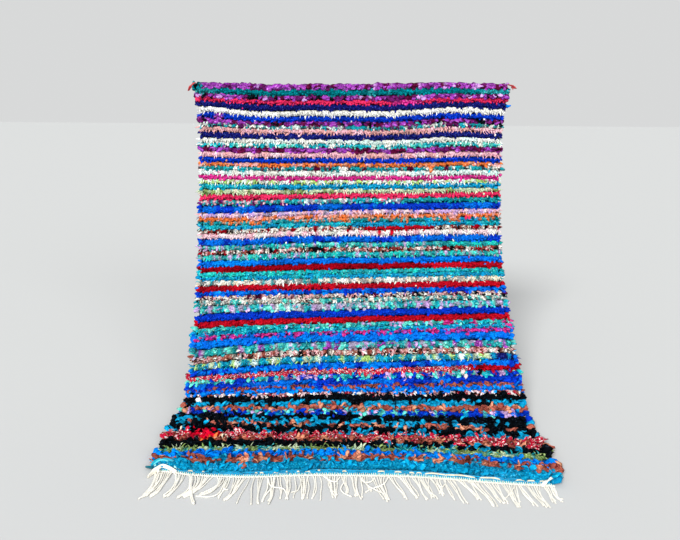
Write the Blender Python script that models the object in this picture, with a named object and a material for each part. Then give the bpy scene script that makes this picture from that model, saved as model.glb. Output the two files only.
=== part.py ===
# A boucherouite rug: a cotton cloth knotted with rows of rag locks. It hangs from its top edge against a
# wall, leans out on its way down, and lies flat on the floor at its foot, with a white warp fringe beyond
# its hem and a red rag tie at each top corner.
#
# Metres, +Z up. The wall is the plane Y = 0 and the rug is in front of it, towards -Y. The origin is the
# middle of the woven top edge, on the wall.
#
# A place on the cloth is given by
#   down    the distance from the top edge along the middle of the cloth
#   across  the distance to the right of its middle line
#   lift    the height above the cloth's back

import math
import random

import bmesh
import bpy

# Cloth
CLOTH_WIDTH = 1.470  # woven edge to woven edge
HEM_LENGTH = 0.012  # flat-woven band between the last row of locks and the end of the cloth
HEM_THICKNESS = 0.004
HEM_STEP = 0.006  # from the last row of locks down to where the hem is at its own thickness
PILE_END_HEIGHT = 0.008

# Rows of locks
LOCK_COLUMNS = 22  # lumps along a row
SIDE_MARGIN = 0.012  # from the woven edge to the first lump
LUMP_SHARE = 0.22  # how much of the pile height a lump may lose
VALLEY_SHARE = (0.38, 0.56)  # lowest and highest dip between two rows, as a share of the pile height
CREST_RIM_SHARE = 0.42  # height at which a side lock stands out
VALLEY_RIM_SHARE = 0.30  # height of the notch between two side locks
NOTCH_DEPTH = 0.004
ROW_WANDER = 0.0022  # how far a row strays up or down
SIDE_LOCK_REACH = (0.006, 0.022)  # shortest and longest side lock, beyond the woven edge
FOOT_LOCK_EXTRA = 0.012  # side locks on the floor splay this much further
TOP_LOCK_PITCH = 0.025
TOP_LOCK_REACH = (0.010, 0.024)
TOP_LOCK_NOTCH = 0.003  # height between two of them
TOP_LOCK_SHARE = 0.30  # how far in front of the back they stand, as a share of the pile height
TOP_EDGE_SHARE = 0.50  # height of the pile at the top edge itself

# White edge and fringe
JOINT_GAP = 0.0003  # between pieces that touch
EDGE_WIDTH = 0.009
EDGE_THICKNESS = 0.0045
STRAND_WIDTH = 0.0031
STRAND_TIP_PITCH = 0.0036  # between neighbours at the end of their clump
STRAND_TIP_HEIGHT = 0.0006
STRAND_RAGGED = 0.014  # the longest strand of a clump over its shortest
STRAND_RINGS = (0.12, 0.5)  # where it bends, as shares of its reach

# Corner ties
TIE_KNOT = (0.013, 0.011, 0.016)
TIE_TAIL_LENGTHS = {"left": 0.042, "right": 0.024}
TIE_TAPER = 0.82  # how much narrower each stretch of a tail ends
LONG_TAIL = ((0.45, -0.10), (0.55, -0.60))  # its stretches, outwards and up, as shares of its length
SHORT_TAIL = ((0.04, -0.16), (0.12, -0.19))

# The line in which the cloth hangs, from the top edge down: the length of each stretch, and the angle from
# the vertical at which it ends. The angle changes evenly, so every stretch is a straight line or an arc.
DRAPE = (
    # stretch, length, angle at its end
    ("flat on the wall", 0.232, 0),
    ("easing off", 0.320, 10),
    ("upper lean", 0.250, 21),
    ("swing out", 0.240, 36),
    ("on to the slope", 0.135, 46),
    ("slope", 0.340, 46),
    ("landing", 0.239, 90),
    ("flat on the floor", 0.241, 90),
)

SMALLEST_TURN = 1e-9  # radians, below which a stretch counts as straight

# How the cloth hangs askew. Dip is how much lower the left edge hangs than the right one, and belly how much
# lower the middle hangs than the edges. Spread is the width as a share of the woven width, and drift how far
# the middle line strays to the right.
SKEW = (
    # down, dip, belly, spread, drift
    (0.00, 0.000, 0.008, 1.025, 0.003),
    (0.06, 0.000, 0.014, 1.000, 0.000),
    (0.16, 0.000, 0.013, 0.982, -0.006),
    (0.40, 0.014, 0.005, 0.992, -0.007),
    (0.62, 0.044, -0.004, 1.003, -0.006),
    (0.96, 0.052, -0.006, 1.003, 0.006),
    (1.21, 0.084, -0.008, 1.003, 0.024),
    (1.41, 0.090, -0.012, 1.000, 0.034),
    (1.56, 0.054, -0.009, 1.000, 0.036),
    (1.69, 0.004, 0.000, 1.008, 0.034),
    (1.81, 0.014, -0.012, 1.012, 0.035),
    (1.91, 0.026, -0.026, 1.010, 0.033),
    (2.03, 0.000, -0.018, 1.005, 0.030),
)

# How much further the foot of the cloth reaches at places across it. It has been pulled out of line there.
FOOT_WAVE = (
    # across, further
    (-0.70, 0.000),
    (-0.66, 0.003),
    (-0.60, 0.018),
    (-0.50, 0.027),
    (-0.40, 0.031),
    (-0.30, 0.026),
    (-0.20, 0.017),
    (-0.10, 0.012),
    (0.00, 0.009),
    (0.10, 0.006),
    (0.20, 0.004),
    (0.30, 0.007),
    (0.40, 0.012),
    (0.50, 0.018),
    (0.60, 0.021),
    (0.70, 0.018),
)
FOOT_WAVE_FROM = 1.915  # where down the cloth the wave starts, and where it is full
FOOT_WAVE_TO = 1.965

# The rows of locks from the top edge down: how many, how far apart, and how high the pile stands at the end.
ROW_BANDS = (
    # band, rows, pitch, pile height
    ("top edge", 1, 0.0240, 0.026),
    ("upper wall", 24, 0.0223, 0.029),
    ("lower wall", 16, 0.0252, 0.030),
    ("lean", 17, 0.0290, 0.034),
    ("slope", 5, 0.0190, 0.037),
    ("landing", 5, 0.0280, 0.042),
    ("floor", 6, 0.0250, 0.042),
    ("foot", 4, 0.0362, 0.036),
)

# The clumps in which the warp ends lie, from left to right: how many strands, how far they lie to the right of
# their roots halfway along and at their tips, and how far they reach from the white edge.
CLUMPS = (
    # strands, halfway, at the tip, reach
    (10, 0.011, 0.001, 0.146),
    (8, 0.008, -0.013, 0.141),
    (14, 0.001, -0.037, 0.135),
    (5, 0.004, -0.049, 0.117),
    (3, 0.001, -0.012, 0.129),
    (8, -0.005, -0.026, 0.141),
    (2, -0.006, -0.018, 0.148),
    (2, 0.002, 0.014, 0.167),
    (4, 0.007, 0.020, 0.162),
    (2, 0.008, 0.004, 0.141),
    (3, 0.009, 0.008, 0.151),
    (3, 0.013, 0.022, 0.130),
    (5, 0.011, 0.014, 0.134),
    (2, 0.012, 0.011, 0.141),
    (7, 0.010, 0.011, 0.137),
    (3, 0.010, 0.004, 0.136),
    (2, 0.011, 0.006, 0.146),
    (9, 0.009, 0.020, 0.128),
    (4, 0.007, 0.014, 0.111),
    (5, 0.005, 0.006, 0.125),
    (2, 0.004, 0.008, 0.132),
    (3, 0.005, 0.018, 0.096),
    (9, 0.009, 0.027, 0.145),
    (4, 0.021, 0.046, 0.131),
    (7, 0.020, 0.044, 0.123),
    (3, 0.018, 0.040, 0.127),
    (5, 0.014, 0.028, 0.120),
    (7, 0.010, 0.018, 0.103),
    (2, 0.012, 0.024, 0.115),
    (5, 0.017, 0.030, 0.128),
    (4, 0.022, 0.044, 0.104),
    (8, 0.024, 0.044, 0.136),
    (4, 0.016, 0.030, 0.114),
    (4, 0.010, 0.020, 0.116),
    (8, 0.002, 0.008, 0.129),
    (3, 0.005, 0.019, 0.114),
    (9, 0.002, 0.015, 0.121),
    (3, 0.001, 0.003, 0.098),
    (3, 0.002, 0.007, 0.090),
)

COLOURS = {
    "rug_body": (0.045, 0.235, 0.420),
    "fringe": (0.780, 0.755, 0.680),
    "corner_tie": (0.450, 0.035, 0.045),
}


def spaced(start, end, steps):
    """Evenly spaced numbers from start to end."""
    return [start + (end - start) * i / steps for i in range(steps + 1)]


# Where the points lie across the cloth: on its face, and on its back, which is plain.
HALF_WIDTH = CLOTH_WIDTH / 2
STATIONS = [
    -HALF_WIDTH,
    *spaced(SIDE_MARGIN - HALF_WIDTH, HALF_WIDTH - SIDE_MARGIN, LOCK_COLUMNS),
    HALF_WIDTH,
]
BACK_STATIONS = [-HALF_WIDTH, 0.0, HALF_WIDTH]  # as many as on the face where the foot waves


def new_material(name, colour, roughness):
    material = bpy.data.materials.new(name)
    material.use_nodes = True
    shader = material.node_tree.nodes["Principled BSDF"]
    shader.inputs["Base Color"].default_value = (*colour, 1.0)
    shader.inputs["Roughness"].default_value = roughness
    shader.inputs["Metallic"].default_value = 0.0
    return material


def add_object(name, shape, material):
    bmesh.ops.recalc_face_normals(shape, faces=shape.faces)
    if shape.calc_volume(signed=True) < 0.0:
        bmesh.ops.reverse_faces(shape, faces=shape.faces)
    mesh = bpy.data.meshes.new(name)
    shape.to_mesh(mesh)
    shape.free()
    mesh.materials.append(material)
    thing = bpy.data.objects.new(name, mesh)
    bpy.context.collection.objects.link(thing)
    return thing


def hang_line(along):
    """Distance from the wall, drop below the top edge and lean (radians) after a length of the hang line."""
    out = 0.0
    drop = 0.0
    lean = 0.0
    if along <= 0.0:
        return out, along, lean
    for _, length, end_angle in DRAPE:
        end_lean = math.radians(end_angle)
        step = min(along, length)
        turn = (end_lean - lean) * step / length
        if abs(turn) < SMALLEST_TURN:
            out += step * math.sin(lean)
            drop += step * math.cos(lean)
        else:
            radius = step / turn
            out += radius * (math.cos(lean) - math.cos(lean + turn))
            drop += radius * (math.sin(lean + turn) - math.sin(lean))
        lean += turn
        along -= step
        if along <= 0.0:
            break
    return out + along * math.sin(lean), drop, lean


def skew_at(down):
    """Dip, belly, spread and drift of the cloth at a distance down it."""
    if down <= SKEW[0][0]:
        return SKEW[0][1:]
    for above, below in zip(SKEW, SKEW[1:]):
        if down <= below[0]:
            share = (down - above[0]) / (below[0] - above[0])
            share = share * share * (3.0 - 2.0 * share)
            return tuple(a + (b - a) * share for a, b in zip(above[1:], below[1:]))
    return SKEW[-1][1:]


def foot_wave(down, across):
    """How much further the foot of the cloth reaches at a place on it."""
    share = (down - FOOT_WAVE_FROM) / (FOOT_WAVE_TO - FOOT_WAVE_FROM)
    share = min(1.0, max(0.0, share))
    share = share * share * (3.0 - 2.0 * share)
    across = min(FOOT_WAVE[-1][0], max(FOOT_WAVE[0][0], across))
    for (left, at_left), (right, at_right) in zip(FOOT_WAVE, FOOT_WAVE[1:]):
        if across <= right:
            return share * (at_left + (at_right - at_left) * (across - left) / (right - left))
    return share * FOOT_WAVE[-1][1]


def on_cloth(down, across, lift):
    """The point in space of a place on the cloth."""
    dip, belly, spread, drift = skew_at(down)
    side = across / (CLOTH_WIDTH / 2)
    along = down - dip * side / 2 + belly * (1.0 - side * side) + foot_wave(down, across)
    out, drop, lean = hang_line(along)
    return (
        across * spread + drift,
        -(out + lift * math.cos(lean)),
        -drop + lift * math.sin(lean),
    )


def lock_rows():
    """Where each row of locks lies down the cloth, how wide it is, and how high its pile stands."""
    rows = []
    edge = 0.0
    height = ROW_BANDS[0][3]
    for _, count, pitch, end_height in ROW_BANDS:
        for i in range(count):
            share = (i + 1) / count
            rows.append((edge + pitch / 2, pitch, height + (end_height - height) * share))
            edge += pitch
        height = end_height
    return rows, edge


def strip_between(shape, upper, lower):
    """Quads between two lines of as many points."""
    for a, b, c, d in zip(upper, upper[1:], lower[1:], lower):
        shape.faces.new((a, b, c, d))


def zip_between(shape, first, second):
    """Faces between two lines, both from left to right: triangles if they have unlike numbers of points."""
    if len(first) == len(second):
        strip_between(shape, first, second)
        return
    i = 0
    j = 0
    while i < len(first) - 1 or j < len(second) - 1:
        if j == len(second) - 1:
            step_first = True
        elif i == len(first) - 1:
            step_first = False
        else:
            step_first = first[i + 1].co.x < second[j + 1].co.x
        if step_first:
            shape.faces.new((first[i], first[i + 1], second[j]))
            i += 1
        else:
            shape.faces.new((first[i], second[j + 1], second[j]))
            j += 1


def rug_body():
    """The cloth with its pile: a lumpy slab with a lock at each end of each row and along the top edge."""
    chance = random.Random(7)
    shape = bmesh.new()
    rows, pile_end = lock_rows()
    floor_starts = sum(length for _, length, _ in DRAPE[:-1])

    def line(down, lifts, wander, reach, rim_lift):
        """A line of points from one side lock to the other, with the lumps between them."""
        points = [on_cloth(down, -HALF_WIDTH - reach[0], rim_lift)]
        for across, lift in zip(STATIONS[1:-1], lifts):
            points.append(on_cloth(down + chance.uniform(-wander, wander), across, lift))
        points.append(on_cloth(down, HALF_WIDTH + reach[1], rim_lift))
        return [shape.verts.new(p) for p in points]

    def back_line(down):
        stations = BACK_STATIONS if down < FOOT_WAVE_FROM else STATIONS
        return [shape.verts.new(on_cloth(down, across, 0.0)) for across in stations]

    # The first line follows the top edge of the cloth, as thick at its ends as the knot beside it.
    front = []
    back = []
    first_height = rows[0][2]
    top_lifts = [first_height * TOP_EDGE_SHARE] * (LOCK_COLUMNS + 1)
    front.append(line(0.0, top_lifts, 0.0, (0.0, 0.0), TIE_KNOT[1]))
    back.append(back_line(0.0))
    for number, (middle, pitch, height) in enumerate(rows):
        crest = [height * (1.0 - chance.uniform(0.0, LUMP_SHARE)) for _ in range(LOCK_COLUMNS + 1)]
        reach = [chance.uniform(*SIDE_LOCK_REACH) for _ in range(2)]
        if middle > floor_starts:
            reach = [r + FOOT_LOCK_EXTRA for r in reach]
        if number == 0:
            reach = [0.0, 0.0]
        front.append(line(middle, crest, ROW_WANDER, reach, height * CREST_RIM_SHARE))
        back.append(back_line(middle))
        valley_end = middle + pitch / 2
        if number == len(rows) - 1:
            valley = [PILE_END_HEIGHT] * (LOCK_COLUMNS + 1)
        else:
            valley = [height * chance.uniform(*VALLEY_SHARE) for _ in crest]
        tucked = [0.0, 0.0] if number == 0 else [-NOTCH_DEPTH, -NOTCH_DEPTH]
        front.append(line(valley_end, valley, ROW_WANDER / 2, tucked, height * VALLEY_RIM_SHARE))
        back.append(back_line(valley_end))

    # The flat-woven hem.
    hem_lifts = [HEM_THICKNESS] * (LOCK_COLUMNS + 1)
    front.append(line(pile_end + HEM_STEP, hem_lifts, 0.0, (0.0, 0.0), HEM_THICKNESS))
    back.append(back_line(pile_end + HEM_STEP))
    front.append(line(pile_end + HEM_LENGTH, hem_lifts, 0.0, (0.0, 0.0), HEM_THICKNESS))

    for upper, lower in zip(front, front[1:]):
        strip_between(shape, upper, lower)
    foot = back_line(pile_end + HEM_LENGTH)
    strip_between(shape, front[-1], foot)
    back.append(foot)
    for upper, lower in zip(back, back[1:]):
        zip_between(shape, lower, upper)
    for side in (0, -1):
        strip_between(shape, [line[side] for line in front], [line[side] for line in back])

    # The locks that stand up along the top edge.
    lock_count = round(CLOTH_WIDTH / TOP_LOCK_PITCH)
    tips = []
    for i, across in enumerate(spaced(-HALF_WIDTH, HALF_WIDTH, lock_count * 2)):
        rise = chance.uniform(*TOP_LOCK_REACH) if i % 2 else TOP_LOCK_NOTCH
        tips.append(shape.verts.new(on_cloth(-rise, across, first_height * TOP_LOCK_SHARE)))
    zip_between(shape, tips, front[0])
    zip_between(shape, tips, back[0])
    for end in (0, -1):
        shape.faces.new((tips[end], front[0][end], back[0][end]))
    return shape


def strand_side(share, halfway, tip):
    """How far a clump lies to the right of its roots, at a share of its reach, on an even curve."""
    return halfway * 4.0 * share * (1.0 - share) + tip * share * (2.0 * share - 1.0)


def strand_plan(roots):
    """For each strand, the distances from the white edge at which it bends and ends, and where it is there."""
    chance = random.Random(11)
    pitch = roots[1] - roots[0]
    plan = []
    for size, halfway, tip, reach in CLUMPS:
        for i in range(size):
            root = roots[len(plan)]
            gather = (i - (size - 1) / 2) * (STRAND_TIP_PITCH - pitch)
            end_share = 1.0 - chance.uniform(0.0, STRAND_RAGGED) / reach
            path = []
            for share in (*STRAND_RINGS, end_share):
                across = root + strand_side(share, halfway, tip) + gather * share
                path.append((reach * share, across))
            plan.append(path)
    return plan


def fringe():
    """The white twined edge with its warp strands, which lie on the floor in clumps."""
    shape = bmesh.new()
    _, pile_end = lock_rows()
    near = pile_end + HEM_LENGTH + JOINT_GAP
    far = near + EDGE_WIDTH
    strand_count = sum(row[0] for row in CLUMPS)
    root_ends = spaced(-HALF_WIDTH, HALF_WIDTH, strand_count)
    roots = [(a + b) / 2 for a, b in zip(root_ends, root_ends[1:])]

    def line(down, across_list, lift):
        return [shape.verts.new(on_cloth(down, across, lift)) for across in across_list]

    near_low = line(near, STATIONS, 0.0)
    near_high = line(near, STATIONS, EDGE_THICKNESS)
    far_low = line(far, root_ends, 0.0)
    far_high = line(far, roots, EDGE_THICKNESS)

    strip_between(shape, near_low, near_high)
    zip_between(shape, near_low, far_low)
    zip_between(shape, near_high, far_high)
    for end in (0, -1):
        shape.faces.new((near_low[end], far_low[end], near_high[end]))
        shape.faces.new((far_low[end], far_high[end], near_high[end]))
    for left, right, between in zip(far_high, far_high[1:], far_low[1:]):
        shape.faces.new((left, right, between))

    # Each strand is a three-sided cord with a flat underside, from its root in the edge to its tip.
    for i, path in enumerate(strand_plan(roots)):
        ring = (far_low[i], far_low[i + 1], far_high[i])
        for distance, across in path[:-1]:
            next_ring = (
                shape.verts.new(on_cloth(far + distance, across - STRAND_WIDTH / 2, 0.0)),
                shape.verts.new(on_cloth(far + distance, across + STRAND_WIDTH / 2, 0.0)),
                shape.verts.new(on_cloth(far + distance, across, STRAND_WIDTH)),
            )
            for a, b in ((0, 1), (1, 2), (2, 0)):
                shape.faces.new((ring[a], ring[b], next_ring[b], next_ring[a]))
            ring = next_ring
        distance, across = path[-1]
        tip = shape.verts.new(on_cloth(far + distance, across, STRAND_TIP_HEIGHT))
        for a, b in ((0, 1), (1, 2), (2, 0)):
            shape.faces.new((ring[a], ring[b], tip))
    return shape


def corner_tie(side, tail_length):
    """A knotted red rag against the corner of the cloth, with two short tails. side is -1 or 1."""
    shape = bmesh.new()
    corner = on_cloth(0.0, side * CLOTH_WIDTH / 2, 0.0)
    made = bmesh.ops.create_cube(shape, size=1.0)
    bmesh.ops.scale(shape, vec=TIE_KNOT, verts=made["verts"])
    middle = (
        corner[0] + side * (TIE_KNOT[0] / 2 + JOINT_GAP),
        -TIE_KNOT[1] / 2 - JOINT_GAP,
        -TIE_KNOT[2] / 2,
    )
    bmesh.ops.translate(shape, vec=middle, verts=made["verts"])
    outer = max(shape.faces, key=lambda face: side * face.calc_center_median().x)
    bottom = min(shape.faces, key=lambda face: face.calc_center_median().z)

    # The long tail leaves the knot outwards and droops, the short one hangs from under it.
    for face, stretches in ((outer, LONG_TAIL), (bottom, SHORT_TAIL)):
        for outwards, upwards in stretches:
            face = bmesh.ops.extrude_discrete_faces(shape, faces=[face])["faces"][0]
            travel = (side * outwards * tail_length, 0.0, upwards * tail_length)
            bmesh.ops.translate(shape, vec=travel, verts=face.verts)
            centre = face.calc_center_median()
            for vert in face.verts:
                vert.co = centre + (vert.co - centre) * TIE_TAPER
    return shape


def main():
    for thing in list(bpy.data.objects):
        bpy.data.objects.remove(thing)
    add_object("rug_body", rug_body(), new_material("rag_pile", COLOURS["rug_body"], 0.9))
    add_object("fringe", fringe(), new_material("cotton_warp", COLOURS["fringe"], 0.85))
    for name, side in (("left", -1), ("right", 1)):
        tie = corner_tie(side, TIE_TAIL_LENGTHS[name])
        add_object("corner_tie_" + name, tie, new_material("red_rag_" + name, COLOURS["corner_tie"], 0.8))


main()
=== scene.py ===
# A boucherouite rug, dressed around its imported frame: thousands of knotted rag locks in striped rows on a
# woven cotton ground, a flat-woven hem, a twined white edge with its warp fringe, and a red tie at each
# top corner. Metres, +Z up. The back of the top edge lies in the plane y = 0, the origin is its middle.

import math

import bmesh
import bpy
import numpy as np
from mathutils import Matrix, Vector


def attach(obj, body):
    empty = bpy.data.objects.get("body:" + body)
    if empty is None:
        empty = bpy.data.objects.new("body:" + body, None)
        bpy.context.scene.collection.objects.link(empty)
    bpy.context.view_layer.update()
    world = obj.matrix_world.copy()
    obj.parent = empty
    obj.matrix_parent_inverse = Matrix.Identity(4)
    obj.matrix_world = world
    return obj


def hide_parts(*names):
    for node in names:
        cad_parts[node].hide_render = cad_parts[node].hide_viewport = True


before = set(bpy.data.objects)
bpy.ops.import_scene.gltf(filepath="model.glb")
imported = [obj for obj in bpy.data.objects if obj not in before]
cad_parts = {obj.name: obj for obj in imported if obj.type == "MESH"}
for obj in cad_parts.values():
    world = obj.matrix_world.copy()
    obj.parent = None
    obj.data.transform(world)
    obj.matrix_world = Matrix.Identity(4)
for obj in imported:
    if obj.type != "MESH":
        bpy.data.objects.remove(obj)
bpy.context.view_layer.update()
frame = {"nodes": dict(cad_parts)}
print("frame loaded:", ", ".join(frame["nodes"]))


# The cloth's own sizes and the line in which it hangs, as in the part. Its first rows end further in.
cloth = {
    "width": 1.470,
    "pile": 1.985,  # from the top edge down to the end of the last row of locks
    "hem": 0.012,
    "thickness": 0.003,
    "floorHeight": -1.4265,
    "clear": 0.0004,  # how far everything stays off the floor and off the plane of the back
    "above": 0.10,  # how far the line starts over the top edge, and runs on over the floor under the fringe
    "beyond": 0.20,
    "lineStep": 0.0005,
    # stretch of the hang line, its length, the angle from the vertical at its end
    "drape": [
        ("straight down", 0.232, 0),
        ("easing off", 0.320, 10),
        ("upper lean", 0.250, 21),
        ("swing out", 0.240, 36),
        ("on to the slope", 0.135, 46),
        ("slope", 0.340, 46),
        ("landing", 0.239, 90),
        ("flat on the floor", 0.241, 90),
    ],
    # down, dip of the left edge, belly of the middle, spread, drift to the right
    "skew": [
        (0.00, 0.000, 0.008, 1.009, -0.009),
        (0.06, 0.000, 0.014, 1.000, 0.000),
        (0.16, 0.000, 0.013, 0.982, -0.006),
        (0.40, 0.014, 0.005, 0.992, -0.007),
        (0.62, 0.044, -0.004, 1.003, -0.006),
        (0.96, 0.052, -0.006, 1.003, 0.006),
        (1.21, 0.084, -0.008, 1.003, 0.024),
        (1.41, 0.090, -0.012, 1.000, 0.034),
        (1.56, 0.054, -0.009, 1.000, 0.036),
        (1.69, 0.004, 0.000, 1.008, 0.034),
        (1.81, 0.014, -0.012, 1.012, 0.035),
        (1.91, 0.026, -0.026, 1.010, 0.033),
        (2.03, 0.000, -0.018, 1.005, 0.030),
    ],
    # across, how much further the foot of the cloth reaches there
    "footWave": [
        (-0.70, 0.000), (-0.66, 0.003), (-0.60, 0.018), (-0.50, 0.027), (-0.40, 0.031), (-0.30, 0.026),
        (-0.20, 0.017), (-0.10, 0.012), (0.00, 0.009), (0.10, 0.006), (0.20, 0.004), (0.30, 0.007),
        (0.40, 0.012), (0.50, 0.018), (0.60, 0.021), (0.70, 0.018),
    ],
    "waveFrom": 1.915,  # where down the cloth that starts, and where it is full
    "waveTo": 1.965,
}
halfWidth = cloth["width"] / 2
clothLength = cloth["pile"] + cloth["hem"]


def hangLine():
    # how far out, how far down and how steep the cloth is at every step along the line
    ends = np.cumsum([0.0] + [row[1] for row in cloth["drape"]])
    angles = np.radians([0.0] + [row[2] for row in cloth["drape"]])
    along = np.arange(-cloth["above"], ends[-1] + cloth["beyond"], cloth["lineStep"])
    lean = np.interp(along, ends, angles)
    middle = (lean[1:] + lean[:-1]) / 2
    out = np.concatenate([[0.0], np.cumsum(np.sin(middle) * np.diff(along))])
    drop = np.concatenate([[0.0], np.cumsum(np.cos(middle) * np.diff(along))]) + along[0]
    return along, out, drop, lean


lineAlong, lineOut, lineDrop, lineLean = hangLine()
skewTable = np.array(cloth["skew"])
waveAcross, waveFurther = np.array(cloth["footWave"]).T


def onCloth(down, across, lift):
    # the place in space of a point on the cloth: down from the top edge, across from its middle, off its back
    down, across, lift = np.broadcast_arrays(down, across, lift)
    row = np.clip(np.searchsorted(skewTable[:, 0], down) - 1, 0, len(skewTable) - 2)
    above, below = skewTable[row], skewTable[row + 1]
    share = np.clip((down - above[..., 0]) / (below[..., 0] - above[..., 0]), 0, 1)
    share = (share * share * (3 - 2 * share))[..., None]
    dip, belly, spread, drift = np.moveaxis((above + (below - above) * share)[..., 1:], -1, 0)
    side = across / halfWidth
    begun = np.clip((down - cloth["waveFrom"]) / (cloth["waveTo"] - cloth["waveFrom"]), 0, 1)
    further = np.interp(across, waveAcross, waveFurther) * begun * begun * (3 - 2 * begun)
    along = down - dip * side / 2 + belly * (1 - side * side) + further
    lean = np.interp(along, lineAlong, lineLean)
    out = np.interp(along, lineAlong, lineOut) + lift * np.cos(lean)
    height = lift * np.sin(lean) - np.interp(along, lineAlong, lineDrop)
    return np.stack([across * spread + drift, -out, height], axis=-1)


def clothAxes(down, across):
    # unit vectors at places on the cloth: to the right, up the cloth, off its face
    near = 0.002
    right = onCloth(down, across + near, 0.0) - onCloth(down, across - near, 0.0)
    right /= np.linalg.norm(right, axis=1, keepdims=True)
    off = onCloth(down, across, near) - onCloth(down, across, 0.0)
    off /= np.linalg.norm(off, axis=1, keepdims=True)
    return right, np.cross(off, right), off


def keepClear(points):
    # nothing reaches behind the plane of the back or below the floor
    points[..., 1] = np.minimum(points[..., 1], -cloth["clear"])
    points[..., 2] = np.maximum(points[..., 2], cloth["floorHeight"] + cloth["clear"])


# cloth colour, colour of its print or flecks, how much of the cloth they cover
rags = {
    # violet's lighter flecks are painted highlights, the sheen of its satin
    "violet": ((154, 58, 174), (204, 136, 212), 0.16),
    "lilac": ((198, 148, 214), (150, 62, 180), 0.14),
    "plum": ((102, 24, 92), (150, 62, 180), 0.10),
    "maroon": ((88, 10, 52), (130, 30, 80), 0.10),
    "deepTeal": ((0, 118, 128), (0, 162, 176), 0.20),
    "teal": ((28, 150, 158), (120, 205, 200), 0.10),
    "turquoise": ((14, 170, 188), (110, 222, 224), 0.14),
    "tealBlue": ((8, 144, 194), (70, 184, 224), 0.14),
    "aqua": ((32, 208, 198), (120, 230, 220), 0.10),
    "mint": ((92, 214, 198), (180, 235, 225), 0.12),
    "paleMint": ((230, 250, 244), (150, 222, 216), 0.10),
    "cyan": ((4, 148, 198), (44, 190, 228), 0.16),
    "azure": ((0, 132, 245), (30, 160, 250), 0.10),
    "brightBlue": ((4, 106, 222), (24, 138, 242), 0.14),
    "royal": ((6, 52, 192), (18, 88, 220), 0.14),
    # navy's lighter flecks are painted glints
    "navy": ((18, 22, 106), (52, 70, 156), 0.20),
    "white": ((246, 245, 237), (222, 222, 212), 0.08),
    "cream": ((240, 228, 204), (215, 195, 165), 0.10),
    "palePink": ((248, 222, 228), (235, 185, 198), 0.12),
    "pink": ((242, 182, 196), (250, 222, 228), 0.12),
    "salmon": ((236, 172, 172), (245, 212, 208), 0.12),
    "crimson": ((238, 50, 102), (190, 20, 62), 0.14),
    "scarlet": ((225, 10, 48), (190, 5, 35), 0.08),
    "red": ((190, 12, 34), (150, 4, 22), 0.12),
    "darkRed": ((156, 2, 22), (110, 0, 14), 0.14),
    "magenta": ((204, 42, 134), (232, 112, 178), 0.12),
    "orange": ((228, 118, 60), (170, 74, 26), 0.14),
    "terracotta": ((178, 94, 78), (215, 140, 115), 0.14),
    "brown": ((156, 80, 68), (92, 32, 28), 0.24),
    "peach": ((222, 152, 122), (190, 100, 74), 0.20),
    "black": ((5, 9, 15), (24, 38, 52), 0.12),
    "sage": ((126, 154, 88), (186, 206, 140), 0.20),
    "paleSage": ((202, 220, 184), (150, 175, 125), 0.16),
    "lime": ((182, 222, 126), (225, 240, 190), 0.10),
    "lavender": ((204, 166, 222), (235, 215, 240), 0.10),
    "greyMauve": ((160, 150, 178), (200, 195, 212), 0.16),
    "grey": ((150, 152, 152), (95, 98, 100), 0.20),
    "speckle": ((232, 222, 210), (70, 24, 24), 0.42),
    "pinkFleck": ((232, 184, 188), (170, 30, 50), 0.34),
    "redDot": ((198, 26, 60), (244, 226, 226), 0.30),
    "brownFleck": ((165, 92, 78), (238, 215, 195), 0.28),
}

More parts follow.
